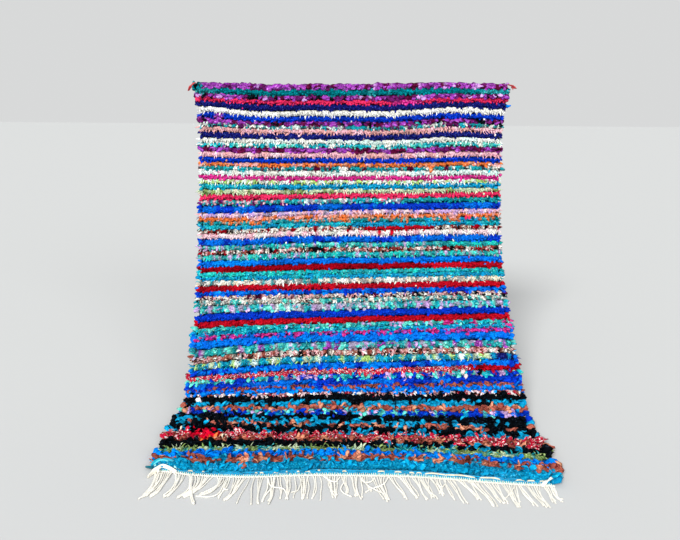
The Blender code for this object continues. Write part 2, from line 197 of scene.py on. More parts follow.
# height in mm, cut of the locks, how many neighbours come from one rag, and the rags as often as they turn up
rowChart = [
    (21, "puff", 1, "violet violet plum lilac violet plum violet maroon"),
    (31, "plush", 8, "deepTeal deepTeal teal"),
    (17, "puff", 1, "violet plum maroon plum violet plum violet lilac plum black"),
    (20, "plush", 8, "crimson"),
    (29, "plush", 8, "navy"),
    (26, "spike", 14, "white"),
    (26, "plush", 14, "royal"),
    (15, "puff", 0, "violet plum plum black maroon violet"),
    (21, "snip", 1, "teal paleMint turquoise plum white teal"),
    (21, "spike", 4, "salmon salmon pink"),
    (28, "plush", 8, "navy"),
    (20, "spike", 8, "paleMint white"),
    (19, "plush", 1, "turquoise mint white turquoise"),
    (19, "puff", 1, "violet plum violet maroon"),
    (29, "spike", 4, "pink pink salmon palePink"),
    (22, "plush", 8, "royal"),
    (19, "plush", 1, "orange orange orange salmon peach"),
    (20, "snip", 1, "teal turquoise white teal maroon turquoise"),
    (27, "spike", 8, "white paleMint"),
    (20, "plush", 4, "magenta"),
    (19, "spike", 1, "white lime white lime paleMint"),
    (25, "plush", 4, "tealBlue tealBlue cyan"),
    (21, "spike", 2, "paleSage cream paleSage sage paleSage"),
    (25, "plush", 6, "crimson"),
    (25, "plush", 0, "teal deepTeal teal turquoise"),
    (35, "plush", 4, "royal royal brightBlue"),
    (20, "spike", 1, "pink lavender greyMauve palePink lavender"),
    (19, "plush", 1, "orange orange salmon orange peach orange"),
    (20, "snip", 1, "teal turquoise tealBlue deepTeal teal peach orange"),
    (21, "plush", 3, "tealBlue turquoise tealBlue"),
    (19, "snip", 0, "speckle brown black white speckle darkRed"),
    (28, "spike", 2, "white palePink pink white"),
    (34, "plush", 4, "brightBlue brightBlue royal"),
    (25, "snip", 0, "teal mint teal lavender aqua teal greyMauve"),
    (21, "snip", 0, "pinkFleck darkRed white black brown speckle"),
    (31, "snip", 0, "aqua teal mint turquoise lavender aqua greyMauve teal"),
    (31, "plush", 4, "brightBlue azure brightBlue"),
    (31, "plush", 6, "darkRed"),
    (24, "plush", 1, "turquoise turquoise aqua teal"),
    (20, "plush", 2, "tealBlue turquoise tealBlue"),
    (28, "spike", 1, "white cream grey white cream white teal grey"),
    (32, "plush", 6, "red"),
    (25, "leaf", 1, "brightBlue royal brightBlue royal azure"),
    (21, "snip", 0, "salmon maroon white black speckle pinkFleck"),
    (27, "snip", 0, "teal white speckle mint grey teal speckle white"),
    (37, "leaf", 0, "mint lavender mint turquoise greyMauve teal greyMauve paleMint"),
    (38, "plush", 4, "royal"),
    (32, "plush", 6, "red"),
    (20, "leaf", 1, "mint teal turquoise mint lavender"),
    (22, "leaf", 2, "tealBlue turquoise tealBlue"),
    (13, "leaf", 1, "magenta violet magenta brightBlue"),
    (41, "chunk", 1, "brightBlue brightBlue azure"),
    (36, "leaf", 0, "mint teal greyMauve aqua lavender teal mint violet teal greyMauve"),
    (29, "snip", 0, "speckle brownFleck white pinkFleck brown black pinkFleck"),
    (32, "spike", 1, "tealBlue turquoise lime teal tealBlue paleSage paleMint"),
    (30, "chunk", 1, "brightBlue azure brightBlue royal"),
    (24, "leaf", 3, "redDot"),
    (23, "leaf", 1, "mint lavender royal turquoise royal"),
    (32, "chunk", 2, "royal royal brightBlue royal"),
    (8, "leaf", 1, "brown terracotta royal"),
    (27, "chunk", 1, "azure brightBlue azure"),
    (13, "snip", 1, "pinkFleck redDot brown white palePink black"),
    (31, "chunk", 6, "black"),
    (26, "chunk", 1, "cyan tealBlue cyan black"),
    (26, "chunk", 1, "terracotta brown brown terracotta peach"),
    (27, "leaf", 1, "royal royal brightBlue mint royal lavender royal cyan mint"),
    (28, "chunk", 6, "black"),
    (24, "chunk", 1, "cyan tealBlue cyan black"),
    (26, "chunk", 1, "brown terracotta cyan peach black"),
    (28, "chunk", 6, "black"),
    (29, "leaf", 2, "cyan black cyan black"),
    (31, "leaf", 3, "redDot"),
    (22, "leaf", 1, "terracotta redDot peach brown redDot"),
    (43, "chunk", 1, "black black black black black cyan"),
    (32, "tuft", 1, "sage paleSage sage teal"),
    (30, "chunk", 1, "azure azure brightBlue azure"),
    (24, "leaf", 1, "brown brown terracotta brown peach cyan"),
    (37, "chunk", 2, "cyan cyan tealBlue"),
]

# stretches of a row that are knotted with other rags: row, from, to across the cloth, rags
rowPatches = [
    (1, -0.74, -0.70, "deepTeal black"),
    (4, -0.60, -0.58, "navy"),
    (4, -0.10, 0.34, "crimson crimson magenta"),
    (7, -0.66, -0.63, "violet"),
    (8, -0.70, -0.60, "violet"),
    (22, -0.74, -0.35, "turquoise tealBlue"),
    (25, -0.74, -0.25, "teal plum teal turquoise pink"),
    (25, -0.25, 0.25, "greyMauve paleMint teal turquoise"),
    (31, -0.30, -0.12, "darkRed speckle white"),
    (31, 0.06, 0.42, "red"),
    (32, -0.74, -0.46, "pink palePink"),
    (32, 0.52, 0.74, "palePink white"),
    (34, 0.45, 0.74, "aqua teal aqua"),
    (37, 0.35, 0.74, "azure brightBlue"),
    (38, 0.40, 0.74, "red"),
    (46, 0.30, 0.74, "lavender greyMauve mint turquoise"),
    (49, -0.74, -0.25, "turquoise mint"),
    (49, 0.40, 0.74, "mint magenta turquoise"),
    (55, 0.63, 0.74, "navy tealBlue"),
    (57, 0.52, 0.74, "darkRed red"),
    (58, -0.74, -0.64, "mint"),
    (71, -0.66, -0.56, "scarlet black black"),
    (72, -0.74, -0.67, "redDot redDot peach"),
    (72, -0.665, -0.525, "scarlet"),
    (73, -0.74, -0.66, "brown redDot terracotta"),
    (73, -0.63, -0.55, "scarlet scarlet orange"),
    (74, -0.74, -0.60, "black"),
]

# single locks that catch the eye: row, across, mm down the cloth from the row, rag, size, cut
looseLocks = [
    (5, 0.735, 4, "azure", 1.3, "plush"), (13, -0.735, -2, "white", 1.4, "spike"),
    (17, 0.400, 14, "orange", 1.3, "leaf"), (18, 0.735, 6, "teal", 1.2, "leaf"),
    (28, 0.575, 0, "crimson", 1.1, "leaf"), (28, 0.590, 1, "crimson", 1.1, "leaf"),
    (31, 0.150, 10, "red", 1.2, "leaf"), (31, 0.215, 14, "red", 1.2, "leaf"),
    (44, -0.415, 2, "paleMint", 1.1, "puff"), (49, -0.315, -4, "lavender", 1.3, "leaf"),
    (52, 0.480, 14, "azure", 1.2, "chunk"), (57, 0.490, 4, "palePink", 1.3, "leaf"),
    (58, 0.500, 2, "palePink", 1.2, "leaf"), (57, 0.565, 2, "black", 1.4, "leaf"),
    (67, 0.725, -4, "royal", 1.1, "chunk"), (69, -0.495, 0, "peach", 1.1, "puff"),
    (70, -0.705, 4, "cream", 1.6, "spike"), (70, -0.700, 9, "cream", 1.5, "spike"),
    (72, -0.205, 8, "peach", 1.0, "chunk"), (72, -0.520, 0, "cream", 1.6, "spike"),
    (72, -0.516, 4, "cream", 1.4, "spike"), (76, 0.735, 4, "azure", 1.2, "chunk"),
    (77, -0.410, 14, "orange", 1.1, "chunk"), (77, -0.402, 20, "terracotta", 1.1, "chunk"),
    (77, 0.735, 4, "brown", 1.4, "chunk"), (78, 0.730, -12, "cyan", 0.9, "chunk"),
]


def rowPlaces():
    # middle and height of each row down the cloth, stretched to fill the pile exactly
    heights = np.array([row[0] for row in rowChart]) / 1000
    heights *= cloth["pile"] / heights.sum()
    ends = np.cumsum(heights)
    return ends - heights / 2, heights


# how rows stray up or down at places across them, in mm: down the cloth, then one number for each place
strayPlaces = [-0.735, -0.64, -0.52, -0.36, -0.18, 0.0, 0.15, 0.30, 0.45, 0.58, 0.735]
rowStrays = [
    (0.010, 8, 8, 6, 10, 6, 6, 2, 2, -4, 4, 6),
    (0.060, -2, 2, 4, 6, 1, -1, 1, -2, -7, -4, 2),
    (0.135, -5, 0, 8, 10, 2, 2, 4, -5, -15, -10, 3),
    (0.270, 4, 3, 2, 1, -1, -1, 2, -2, -11, -8, 2),
    (0.360, 3, 5, 7, 5, 3, 2, 4, 3, 2, -2, 8),
    (0.450, -2, 0, 1, 2, 2, 0, 1, 3, 0, -1, 0),
    (0.600, 3, 5, 7, 5, 3, 2, 3, 4, 4, 4, 3),
    (0.750, 7, 8, 11, 5, 1, 4, 8, 6, 5, 6, 5),
    (0.960, 6, 6, 7, 7, 6, 7, 8, 6, 3, 3, 2),
    (1.070, 1, 1, 1, 3, 7, 7, 6, 4, 3, 0, 0),
    (1.200, 6, 2, 0, -2, 2, 3, 4, 4, 4, 3, 3),
    (1.300, 15, 7, 0, -4, -2, 4, 6, 6, 9, 10, 9),
    (1.410, 10, 7, 9, 5, 6, 10, 12, 12, 8, 9, 9),
    (1.480, 5, 5, 7, 5, 6, 11, 11, 12, 9, 6, 4),
    (1.570, 5, 4, 3, 11, -1, 5, 5, 6, 4, -1, -2),
    (1.700, 3, 2, 1, 5, -2, 1, 1, 0, 1, 2, 3),
    (1.800, 3, 3, 3, 3, 3, 4, 3, 2, 4, 9, 12),
    (1.910, 8, 7, 6, 4, 3, 1, -1, -2, 1, 7, 12),
    (1.985, 2, 0, -2, -6, -10, -12, -13, -14, -12, -7, -2),
]

strayTable = np.array(rowStrays)


def rowStray(middle, across):
    here = [np.interp(middle, strayTable[:, 0], column) for column in strayTable[:, 1:].T]
    return np.interp(across, strayPlaces, here) / 1000


rowMiddles, rowHeights = rowPlaces()
print("rows of locks:", len(rowChart), "over", round(float(rowHeights.sum()), 3), "m")


def linear(colour):
    # sRGB numbers to the linear values that shaders take
    share = np.asarray(colour) / 255
    return np.where(share > 0.04045, ((share + 0.055) / 1.055) ** 2.4, share / 12.92)


# Helpers for shader nodes. A value is a socket or a number.

def newGroup(name, inputs, outputs):
    group = bpy.data.node_groups.new(name, "ShaderNodeTree")
    for socket, kind in inputs:
        group.interface.new_socket(socket, in_out="INPUT", socket_type="NodeSocket" + kind)
    for socket in outputs:
        group.interface.new_socket(socket, in_out="OUTPUT", socket_type="NodeSocketFloat")
    return group, group.nodes.new("NodeGroupInput").outputs, group.nodes.new("NodeGroupOutput").inputs


def feed(tree, socket, value):
    if isinstance(value, bpy.types.NodeSocket):
        tree.links.new(value, socket)
    elif value is not None:
        socket.default_value = value


def maths(tree, operation, first, second=None, third=None):
    node = tree.nodes.new("ShaderNodeMath")
    node.operation = operation
    for socket, value in zip(node.inputs, (first, second, third)):
        feed(tree, socket, value)
    return node.outputs[0]


def times(tree, first, second):
    return maths(tree, "MULTIPLY", first, second)


def blend(tree, share, first, second, kind="MIX"):
    node = tree.nodes.new("ShaderNodeMix")
    node.data_type = "RGBA"
    node.blend_type = kind
    for socket, value in ((0, share), (6, first), (7, second)):
        feed(tree, node.inputs[socket], value)
    return node.outputs[2]


def ramp(tree, value, low, high, start=0.0, end=1.0):
    node = tree.nodes.new("ShaderNodeMapRange")
    for socket, number in zip(node.inputs, (value, low, high, start, end)):
        feed(tree, socket, number)
    return node.outputs[0]


def noise(tree, place, scale, detail):
    node = tree.nodes.new("ShaderNodeTexNoise")
    for socket, value in (("Detail", detail), ("Scale", scale), ("Vector", place)):
        feed(tree, node.inputs[socket], value)
    return node.outputs["Fac"]


def splitUp(tree, place):
    node = tree.nodes.new("ShaderNodeSeparateXYZ")
    feed(tree, node.inputs[0], place)
    return node.outputs


# Shader groups that several materials share.

def dyeGroup():
    # uneven dye and wear: one factor around 1 for the whole cloth and its threads
    inputs = [("Place", "Vector"), ("Patch", "Float"), ("Amount", "Float")]
    group, into, out = newGroup("unevenDye", inputs, ["Factor"])
    wide = noise(group, into["Place"], into["Patch"], 3.0)
    fine = noise(group, into["Place"], times(group, into["Patch"], 7.0), 1.0)
    both = maths(group, "ADD", times(group, wide, 1.3), times(group, fine, 0.7))
    spread = times(group, maths(group, "SUBTRACT", both, 1.0), into["Amount"])
    group.links.new(maths(group, "ADD", spread, 1.0), out["Factor"])
    return group


def weaveGroup():
    # warp and weft of a plain weave on coordinates in metres: height of the threads and the gaps between them
    inputs = [("Place", "Vector"), ("Warp", "Float"), ("Weft", "Float")]
    group, into, out = newGroup("plainWeave", inputs, ["Height", "Gap"])
    x, y, _ = splitUp(group, into["Place"])
    waves = []
    for place, pitch in ((x, into["Warp"]), (y, into["Weft"])):
        waves.append(maths(group, "SINE", times(group, maths(group, "DIVIDE", place, pitch), math.pi)))
    over = times(group, *waves)
    threads = times(group, *[maths(group, "ABSOLUTE", wave) for wave in waves])
    group.links.new(maths(group, "MULTIPLY_ADD", over, 0.35, threads), out["Height"])
    group.links.new(maths(group, "SUBTRACT", 1.0, threads), out["Gap"])
    return group


def plyGroup():
    # the twist of a plied yarn: u once around it, v in metres along it
    inputs = [("Place", "Vector"), ("Twist", "Float"), ("Plies", "Float")]
    group, into, out = newGroup("pliedTwist", inputs, ["Height", "Groove"])
    u, v, _ = splitUp(group, into["Place"])
    turns = maths(group, "ADD", u, maths(group, "DIVIDE", v, into["Twist"]))
    angle = times(group, times(group, turns, math.pi), into["Plies"])
    wave = maths(group, "ABSOLUTE", maths(group, "SINE", angle))
    group.links.new(wave, out["Height"])
    group.links.new(maths(group, "POWER", maths(group, "SUBTRACT", 1.0, wave), 2.5), out["Groove"])
    return group


def printGroup():
    # scattered print or flecks on a cloth: Cover is how much of the cloth they take up
    inputs = [("Place", "Vector"), ("Size", "Float"), ("Cover", "Float")]
    group, into, out = newGroup("scatteredPrint", inputs, ["Mask"])
    blobs = noise(group, into["Place"], maths(group, "DIVIDE", 1.0, into["Size"]), 1.0)
    # the noise lies between about 0.25 and 0.75, so the threshold falls as the cover grows
    edge = ramp(group, into["Cover"], 0.0, 1.0, 0.68, 0.34)
    low = maths(group, "SUBTRACT", edge, 0.02)
    high = maths(group, "ADD", edge, 0.02)
    group.links.new(ramp(group, blobs, low, high), out["Mask"])
    return group


def tuftGroup():
    # ends of rags pressed side by side: height of each, the gaps between them and a value for each
    inputs = [("Place", "Vector"), ("Size", "Float")]
    group, into, out = newGroup("pressedTufts", inputs, ["Height", "Gap", "Own"])
    cell = group.nodes.new("ShaderNodeTexVoronoi")
    feed(group, cell.inputs["Vector"], into["Place"])
    feed(group, cell.inputs["Scale"], maths(group, "DIVIDE", 1.0, into["Size"]))
    group.links.new(ramp(group, cell.outputs["Distance"], 0.0, 0.8, 1.0, 0.0), out["Height"])
    group.links.new(ramp(group, cell.outputs["Distance"], 0.35, 0.80), out["Gap"])
    group.links.new(splitUp(group, cell.outputs["Color"])[0], out["Own"])
    return group


groups = {
    "dye": dyeGroup(),
    "weave": weaveGroup(),
    "ply": plyGroup(),
    "print": printGroup(),
    "tuft": tuftGroup(),
}


def use(tree, kind, **values):
    node = tree.nodes.new("ShaderNodeGroup")
    node.node_tree = groups[kind]
    for socket, value in values.items():
        feed(tree, node.inputs[socket], value)
    return node.outputs


def newMaterial(name, roughness, sheen):
    material = bpy.data.materials.new(name)
    material.use_nodes = True
    shader = material.node_tree.nodes["Principled BSDF"]
    shader.inputs["Roughness"].default_value = roughness
    shader.inputs["Sheen Weight"].default_value = sheen
    shader.inputs["Sheen Roughness"].default_value = 0.5
    shader.inputs["Specular IOR Level"].default_value = 0.03
    return material, material.node_tree, shader


def attribute(tree, name):
    node = tree.nodes.new("ShaderNodeAttribute")
    node.attribute_name = name
    return node.outputs


def ownMap(tree, name):
    node = tree.nodes.new("ShaderNodeUVMap")
    node.uv_map = name
    return node.outputs[0]


def objectPlace(tree):
    return tree.nodes.new("ShaderNodeTexCoord").outputs["Object"]


def dyed(tree, patch, amount):
    return use(tree, "dye", Place=objectPlace(tree), Patch=patch, Amount=amount)["Factor"]


def printedRag(tree, place, size):
    # the colour of a rag with its print, and how far out along its lock a point lies
    rag, spots = attribute(tree, "rag"), attribute(tree, "print")
    mask = use(tree, "print", Place=place, Size=size, Cover=spots["Alpha"])["Mask"]
    return blend(tree, mask, rag["Color"], spots["Color"]), rag["Alpha"]


def finish(tree, shader, colour, shades, roughness, relief):
    # colour darkened by every shade in turn, roughness that follows a value, relief as a bump
    shade = shades[0]
    for other in shades[1:]:
        shade = times(tree, shade, other)
    feed(tree, shader.inputs["Base Color"], blend(tree, 1.0, colour, shade, "MULTIPLY"))
    feed(tree, shader.inputs["Roughness"], ramp(tree, *roughness))
    height, strength, distance = relief
    bump = tree.nodes.new("ShaderNodeBump")
    for socket, value in (("Height", height), ("Strength", strength), ("Distance", distance)):
        feed(tree, bump.inputs[socket], value)
    tree.links.new(bump.outputs[0], shader.inputs["Normal"])


# Meshes from one shape or from many copies of a few.

def latticeShape(around, along, place):
    # a grid rolled into a tube by place(u, t), both from 0 to 1; what meets is welded, so its ends close
    bm = bmesh.new()
    bm.loops.layers.uv.new("OFBake")
    bmesh.ops.create_grid(bm, x_segments=around, y_segments=along, size=0.5, calc_uvs=True)
    flat = np.array([vert.co for vert in bm.verts]) + 0.5
    for vert, point in zip(bm.verts, place(flat[:, 0], flat[:, 1])):
        vert.co = point
    bmesh.ops.remove_doubles(bm, verts=bm.verts, dist=0.00002)
    bmesh.ops.recalc_face_normals(bm, faces=bm.faces)
    return bm


def asArrays(bm):
    uvLayer = bm.loops.layers.uv.active
    bm.verts.index_update()
    points = np.array([vert.co for vert in bm.verts])
    quads = np.array([[loop.vert.index for loop in face.loops] for face in bm.faces])
    uvs = np.array([[loop[uvLayer].uv for loop in face.loops] for face in bm.faces])
    bm.free()
    return points, quads, uvs


def atPoints(points, quads, uvs):
    # the map's values at the points of a shape
    values = np.zeros((len(points), 2))
    values[quads.ravel()] = uvs.reshape(-1, 2)
    return values


# how much of its cell on the bake map stays free on each side of a lock, of a packed row and of a tube
cellMargins = {"lock": 0.06, "row": (0.001, 0.06), "tube": 0.05}


def inCell(corner, uvs, kind):
    margin = np.array(cellMargins[kind])
    return corner + margin + uvs * (1 - 2 * margin)


def asMesh(name, points, quads, uvs):
    mesh = bpy.data.meshes.new(name)
    mesh.vertices.add(len(points))
    mesh.vertices.foreach_set("co", np.asarray(points, np.float32).ravel())
    mesh.loops.add(quads.size)
    mesh.loops.foreach_set("vertex_index", np.asarray(quads, np.int32).ravel())
    mesh.polygons.add(len(quads))
    mesh.polygons.foreach_set("loop_start", np.arange(0, quads.size, 4, dtype=np.int32))
    layer = mesh.uv_layers.new(name="OFBake")
    layer.uv.foreach_set("vector", np.asarray(uvs, np.float32).ravel())
    mesh.update(calc_edges=True)
    mesh.polygons.foreach_set("use_smooth", np.ones(len(quads), bool))
    mesh.validate()
    thing = bpy.data.objects.new(name, mesh)
    bpy.context.collection.objects.link(thing)
    return thing


def putColours(thing, name, colours, domain="POINT"):
    layer = thing.data.attributes.new(name, "FLOAT_COLOR", domain)
    layer.data.foreach_set("color", np.asarray(colours, np.float32).ravel())


def putMap(thing, name, uvs):
    layer = thing.data.uv_layers.new(name=name, do_init=False)
    layer.uv.foreach_set("vector", np.asarray(uvs, np.float32).ravel())


# The locks, with one set of shapes for each way in which the rags are cut. Pitch is how far apart they stand
# in their row, pile the height of the pile at which they have their own size, and wild how much they spin.
lockCuts = {
    "plush": {
        "around": 6, "along": 3, "width": 0.0115, "length": 0.021, "pitch": 0.0066, "pile": 0.030,
        "wild": 1.0, "thick": 0.50, "fold": 0.24, "ruffle": 0.07, "twist": 50,
        "outline": [0.9, 1.0, 0.95, 0.6],
    },
    "puff": {
        "around": 8, "along": 4, "width": 0.0200, "length": 0.023, "pitch": 0.0104, "pile": 0.030,
        "wild": 0.7, "thick": 0.38, "fold": 0.34, "ruffle": 0.10, "twist": 50,
        "outline": [0.6, 1.0, 1.1, 1.0, 0.55],
    },
    "leaf": {
        "around": 6, "along": 4, "width": 0.0145, "length": 0.026, "pitch": 0.0082, "pile": 0.030,
        "wild": 1.0, "thick": 0.26, "fold": 0.36, "ruffle": 0.10, "twist": 80,
        "outline": [0.7, 1.0, 1.0, 0.85, 0.4],
    },
    "spike": {
        "around": 4, "along": 4, "width": 0.0064, "length": 0.026, "pitch": 0.0046, "pile": 0.030,
        "wild": 1.0, "thick": 0.60, "fold": 0.10, "ruffle": 0.12, "twist": 90,
        "outline": [1.0, 1.0, 0.9, 0.65, 0.2],
    },
    "snip": {
        "around": 4, "along": 3, "width": 0.0095, "length": 0.023, "pitch": 0.0062, "pile": 0.030,
        "wild": 1.0, "thick": 0.44, "fold": 0.28, "ruffle": 0.12, "twist": 70,
        "outline": [0.8, 1.0, 0.9, 0.5],
    },
    "tuft": {
        "around": 4, "along": 4, "width": 0.0098, "length": 0.032, "pitch": 0.0056, "pile": 0.040,
        "wild": 1.0, "thick": 0.40, "fold": 0.25, "ruffle": 0.18, "twist": 90,
        "outline": [0.8, 1.0, 1.0, 0.7, 0.2],
    },
    "chunk": {
        "around": 8, "along": 4, "width": 0.0280, "length": 0.032, "pitch": 0.0118, "pile": 0.042,
        "wild": 0.6, "thick": 0.28, "fold": 0.34, "ruffle": 0.12, "twist": 60,
        "outline": [0.6, 0.95, 1.1, 1.0, 0.5],
    },
}
yarnCuts = ("spike", "tuft")  # these are of narrow twisted strips, the others of torn cloth
lockCurls = [-20, 10, 35, 60, 85, 110, 140]  # how far a lock bends over by its tip, in degrees
lockSwing = 0.25  # how far to the side its tip may lie, as a share of its length
foldRange = (0.5, 1.4)


def lockShape(cut, curl, chance):
    bend = math.radians(curl)
    twist = math.radians(chance.uniform(-cut["twist"], cut["twist"]))
    fold = cut["fold"] * chance.uniform(*foldRange) * chance.choice([-1, 1])
    waves = chance.uniform(0, 2 * math.pi, 2)
    swing = chance.uniform(-lockSwing, lockSwing)
    grid = np.linspace(0, 1, len(cut["outline"]))

    def place(u, t):
        width = cut["width"] * np.interp(t, grid, cut["outline"])
        flat = 1 - (2 * t - 1) ** 4  # no thickness at either end, where the cut edge is
        p = np.cos(2 * np.pi * u) * width / 2
        q = np.sin(2 * np.pi * u) * cut["thick"] * flat * width / 2
        aside = 2 * p / width
        q = q + fold * (np.abs(aside) ** 1.5 - 0.4) * width / 2 * flat
        q = q + cut["ruffle"] * width * np.sin(5 * t + waves[0] + 2.2 * aside)
        p = p + cut["ruffle"] * width * np.sin(4 * t + waves[1])
        turn = twist * t
        p, q = p * np.cos(turn) - q * np.sin(turn), p * np.sin(turn) + q * np.cos(turn)
        angle = bend * t
        reach = cut["length"] * np.sin(angle) / bend
        over = cut["length"] * (1 - np.cos(angle)) / bend
        return np.stack([
            p + swing * t * t * cut["length"],
            -over + q * np.cos(angle),
            reach + q * np.sin(angle),
        ], axis=1)

    return asArrays(latticeShape(cut["around"], cut["along"], place))


def lockShapes():
    shapes = {}
    for name, cut in lockCuts.items():
        chance = np.random.default_rng(len(name) * 31)
        shapes[name] = [lockShape(cut, curl, chance) for curl in lockCurls]
    return shapes


# Where the locks stand.
pile = {
    "seed": 5,
    # down the cloth, how high the pile stands
    "heights": [
        (0.0, 0.027), (0.56, 0.029), (0.96, 0.030), (1.46, 0.034), (1.69, 0.042), (1.84, 0.042),
        (1.985, 0.036),
    ],
    # how far up the cloth the knots of a row move so that its hanging tips show at the row's own place
    "raised": [
        (0.0, 0.0125), (0.20, 0.011), (0.33, 0.005), (0.455, 0.003), (0.585, -0.004), (0.88, -0.003),
        (1.05, 0.003), (1.22, -0.0035), (1.385, -0.007), (1.52, -0.001), (1.69, 0.003), (1.985, -0.001),
    ],
    "wander": 0.002,  # how far a row strays from straight
    # rootShare also sets where the painted shade up each lock begins
    "rootShare": 0.42,  # where in the height of the pile the locks start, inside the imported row
    "rowShare": 0.34,  # how far from the row's middle they start, as a share of its height
    # the next pairs are for cloth flat on the floor and for cloth that hangs
    "tilt": (4, 22),
    "splay": (50, 36),  # how much more the locks on either side of a row lean away from its middle
    "curl": (80, 58),
    "spin": (70, 24),
    "tiltSpread": 11,
    "curlSpread": 24,
    "sizes": (0.84, 1.14),
    "breadthSpread": 0.18,
    "lumpTilt": 5,  # what a lump in the row adds to the lean of its locks, and to their size
    "lumpSize": 0.05,
    "patchEdge": 0.008,  # how ragged the ends of a patch are
    "strays": 0.008,  # share of locks that come from a neighbouring row's rags
    "runShade": 0.12,  # how much one rag differs from the next of its colour, and one lock from its neighbour
    "lockShade": 0.11,
    "hueSpread": 0.025,
    "bare": (1.945, -0.665, 0.45),  # below and left of here the locks are worn down by this factor
    # how much of the painted root shade pale cloth is spared
    "paleRoots": 0.6,
}
bandRows = [10, 10, 10, 10, 10, 9, 9, 10]  # rows in each piece, from the top

# the locks that splay beyond both woven edges
rim = {
    "locks": 4,  # for each row and side, and one for a row thinner than the next value
    "thinRow": 0.012,
    "inside": (0.002, 0.010),
    "rowShare": 0.45,
    "tilt": (34, 66),
    "spin": 90,
    "spinSpread": 20,
    "hanging": 25,  # how much less they spin where the cloth hangs
    "sizes": (0.80, 1.25),
    "lifts": (0.12, 0.40),
    "curls": (1, 5),  # which of lockCurls they take
    "start": 0.4,  # where in the height of the pile their roots lie, for their painted root shade
    # down the cloth, how large the locks at the left and at the right edge are
    "sides": [
        (0.0, 1.3, 0.9), (0.80, 1.3, 0.9), (0.90, 1.3, 1.15), (1.10, 1.3, 1.1), (1.30, 1.25, 0.9),
        (1.45, 1.1, 0.95), (1.56, 0.75, 0.95), (1.63, 1.05, 0.95), (1.72, 1.25, 1.0), (1.80, 1.05, 1.5),
        (1.94, 1.1, 1.65), (1.985, 1.1, 1.35),
    ],
}

# the locks that stand up over the top edge
topLocks = {
    "pitch": 0.0070,
    "inset": 0.01,
    "jitter": 0.003,
    "down": (0.006, 0.021),
    "tilt": (25, 70),
    "spinSpread": 20,
    "sizes": (0.32, 1.10),
    "wave": 0.30,
    "lifts": (0.15, 0.5),
    "besideThem": 0.5,  # size of the side locks of that row
}

# the locks of looseLocks; beyond the edge they point outwards
# start sets how dark their painted root shade is
lone = {"edge": 0.72, "spin": 78, "spinSpread": 8, "tilt": 40.0, "liftShare": 0.55, "curl": 3, "start": 0.5}

# the crowded bodies of a row's rags, a lumpy ridge out of which the locks' ends stand
packed = {
    "columns": 112,
    "sides": 6,
    "inset": 0.004,  # by how much less than the cloth it spans
    "height": 0.70,  # as a share of the pile
    "endHeight": 0.35,  # as a share of that
    "width": 1.12,  # as a share of the row
    "fullness": 0.7,  # below 1 its back is flatter than an arch
    "lump": 0.11,
    "shift": 0.0022,
    "roundEnd": 0.020,
    "lift": 0.0025,  # of its edges and its underside off the cloth's back
    "underLift": 0.0015,
    "girth": 0.060,  # round it, for its map, and how far one row's map lies from the next
    "mapStep": 0.083,
}


waveLengths = (0.9, 0.37, 0.16, 0.07)  # of the waves in a row, and how strong each is
waveStrengths = (0.4, 1.0)


def rowWave(across, chance, size):
    # a slow wander along a row
    total = np.zeros_like(across)
    for length in waveLengths:
        begin = chance.uniform(0, 2 * math.pi)
        total += np.sin(across * 2 * math.pi / length + begin) * chance.uniform(*waveStrengths)
    return total * size / 2


def tableAt(name, down):
    return np.interp(down, *np.array(pile[name]).T)


def knotLine(number):
    # where down the cloth the knots of a row stand
    return rowMiddles[number] - float(tableAt("raised", rowMiddles[number]))


def patchesOf(number):
    return [(start, end, names.split()) for row, start, end, names in rowPatches if row == number + 1]


def ragRuns(chance, count, names, run):
    # one name for each lock, the same for as many neighbours as one rag gives, and that rag's own shade
    picked, shades = [], []
    while len(picked) < count:
        length = 1 + int(chance.exponential(run))
        picked += [chance.choice(names)] * length
        shades += [chance.normal(1.0, pile["runShade"])] * length
    return np.array(picked[:count], dtype=object), np.array(shades[:count])


def worn(down, across):
    # the corner at which the white edge curls back has short locks
    fromDown, toAcross, share = pile["bare"]
    return np.where((down > fromDown) & (across < toAcross), share, 1.0)


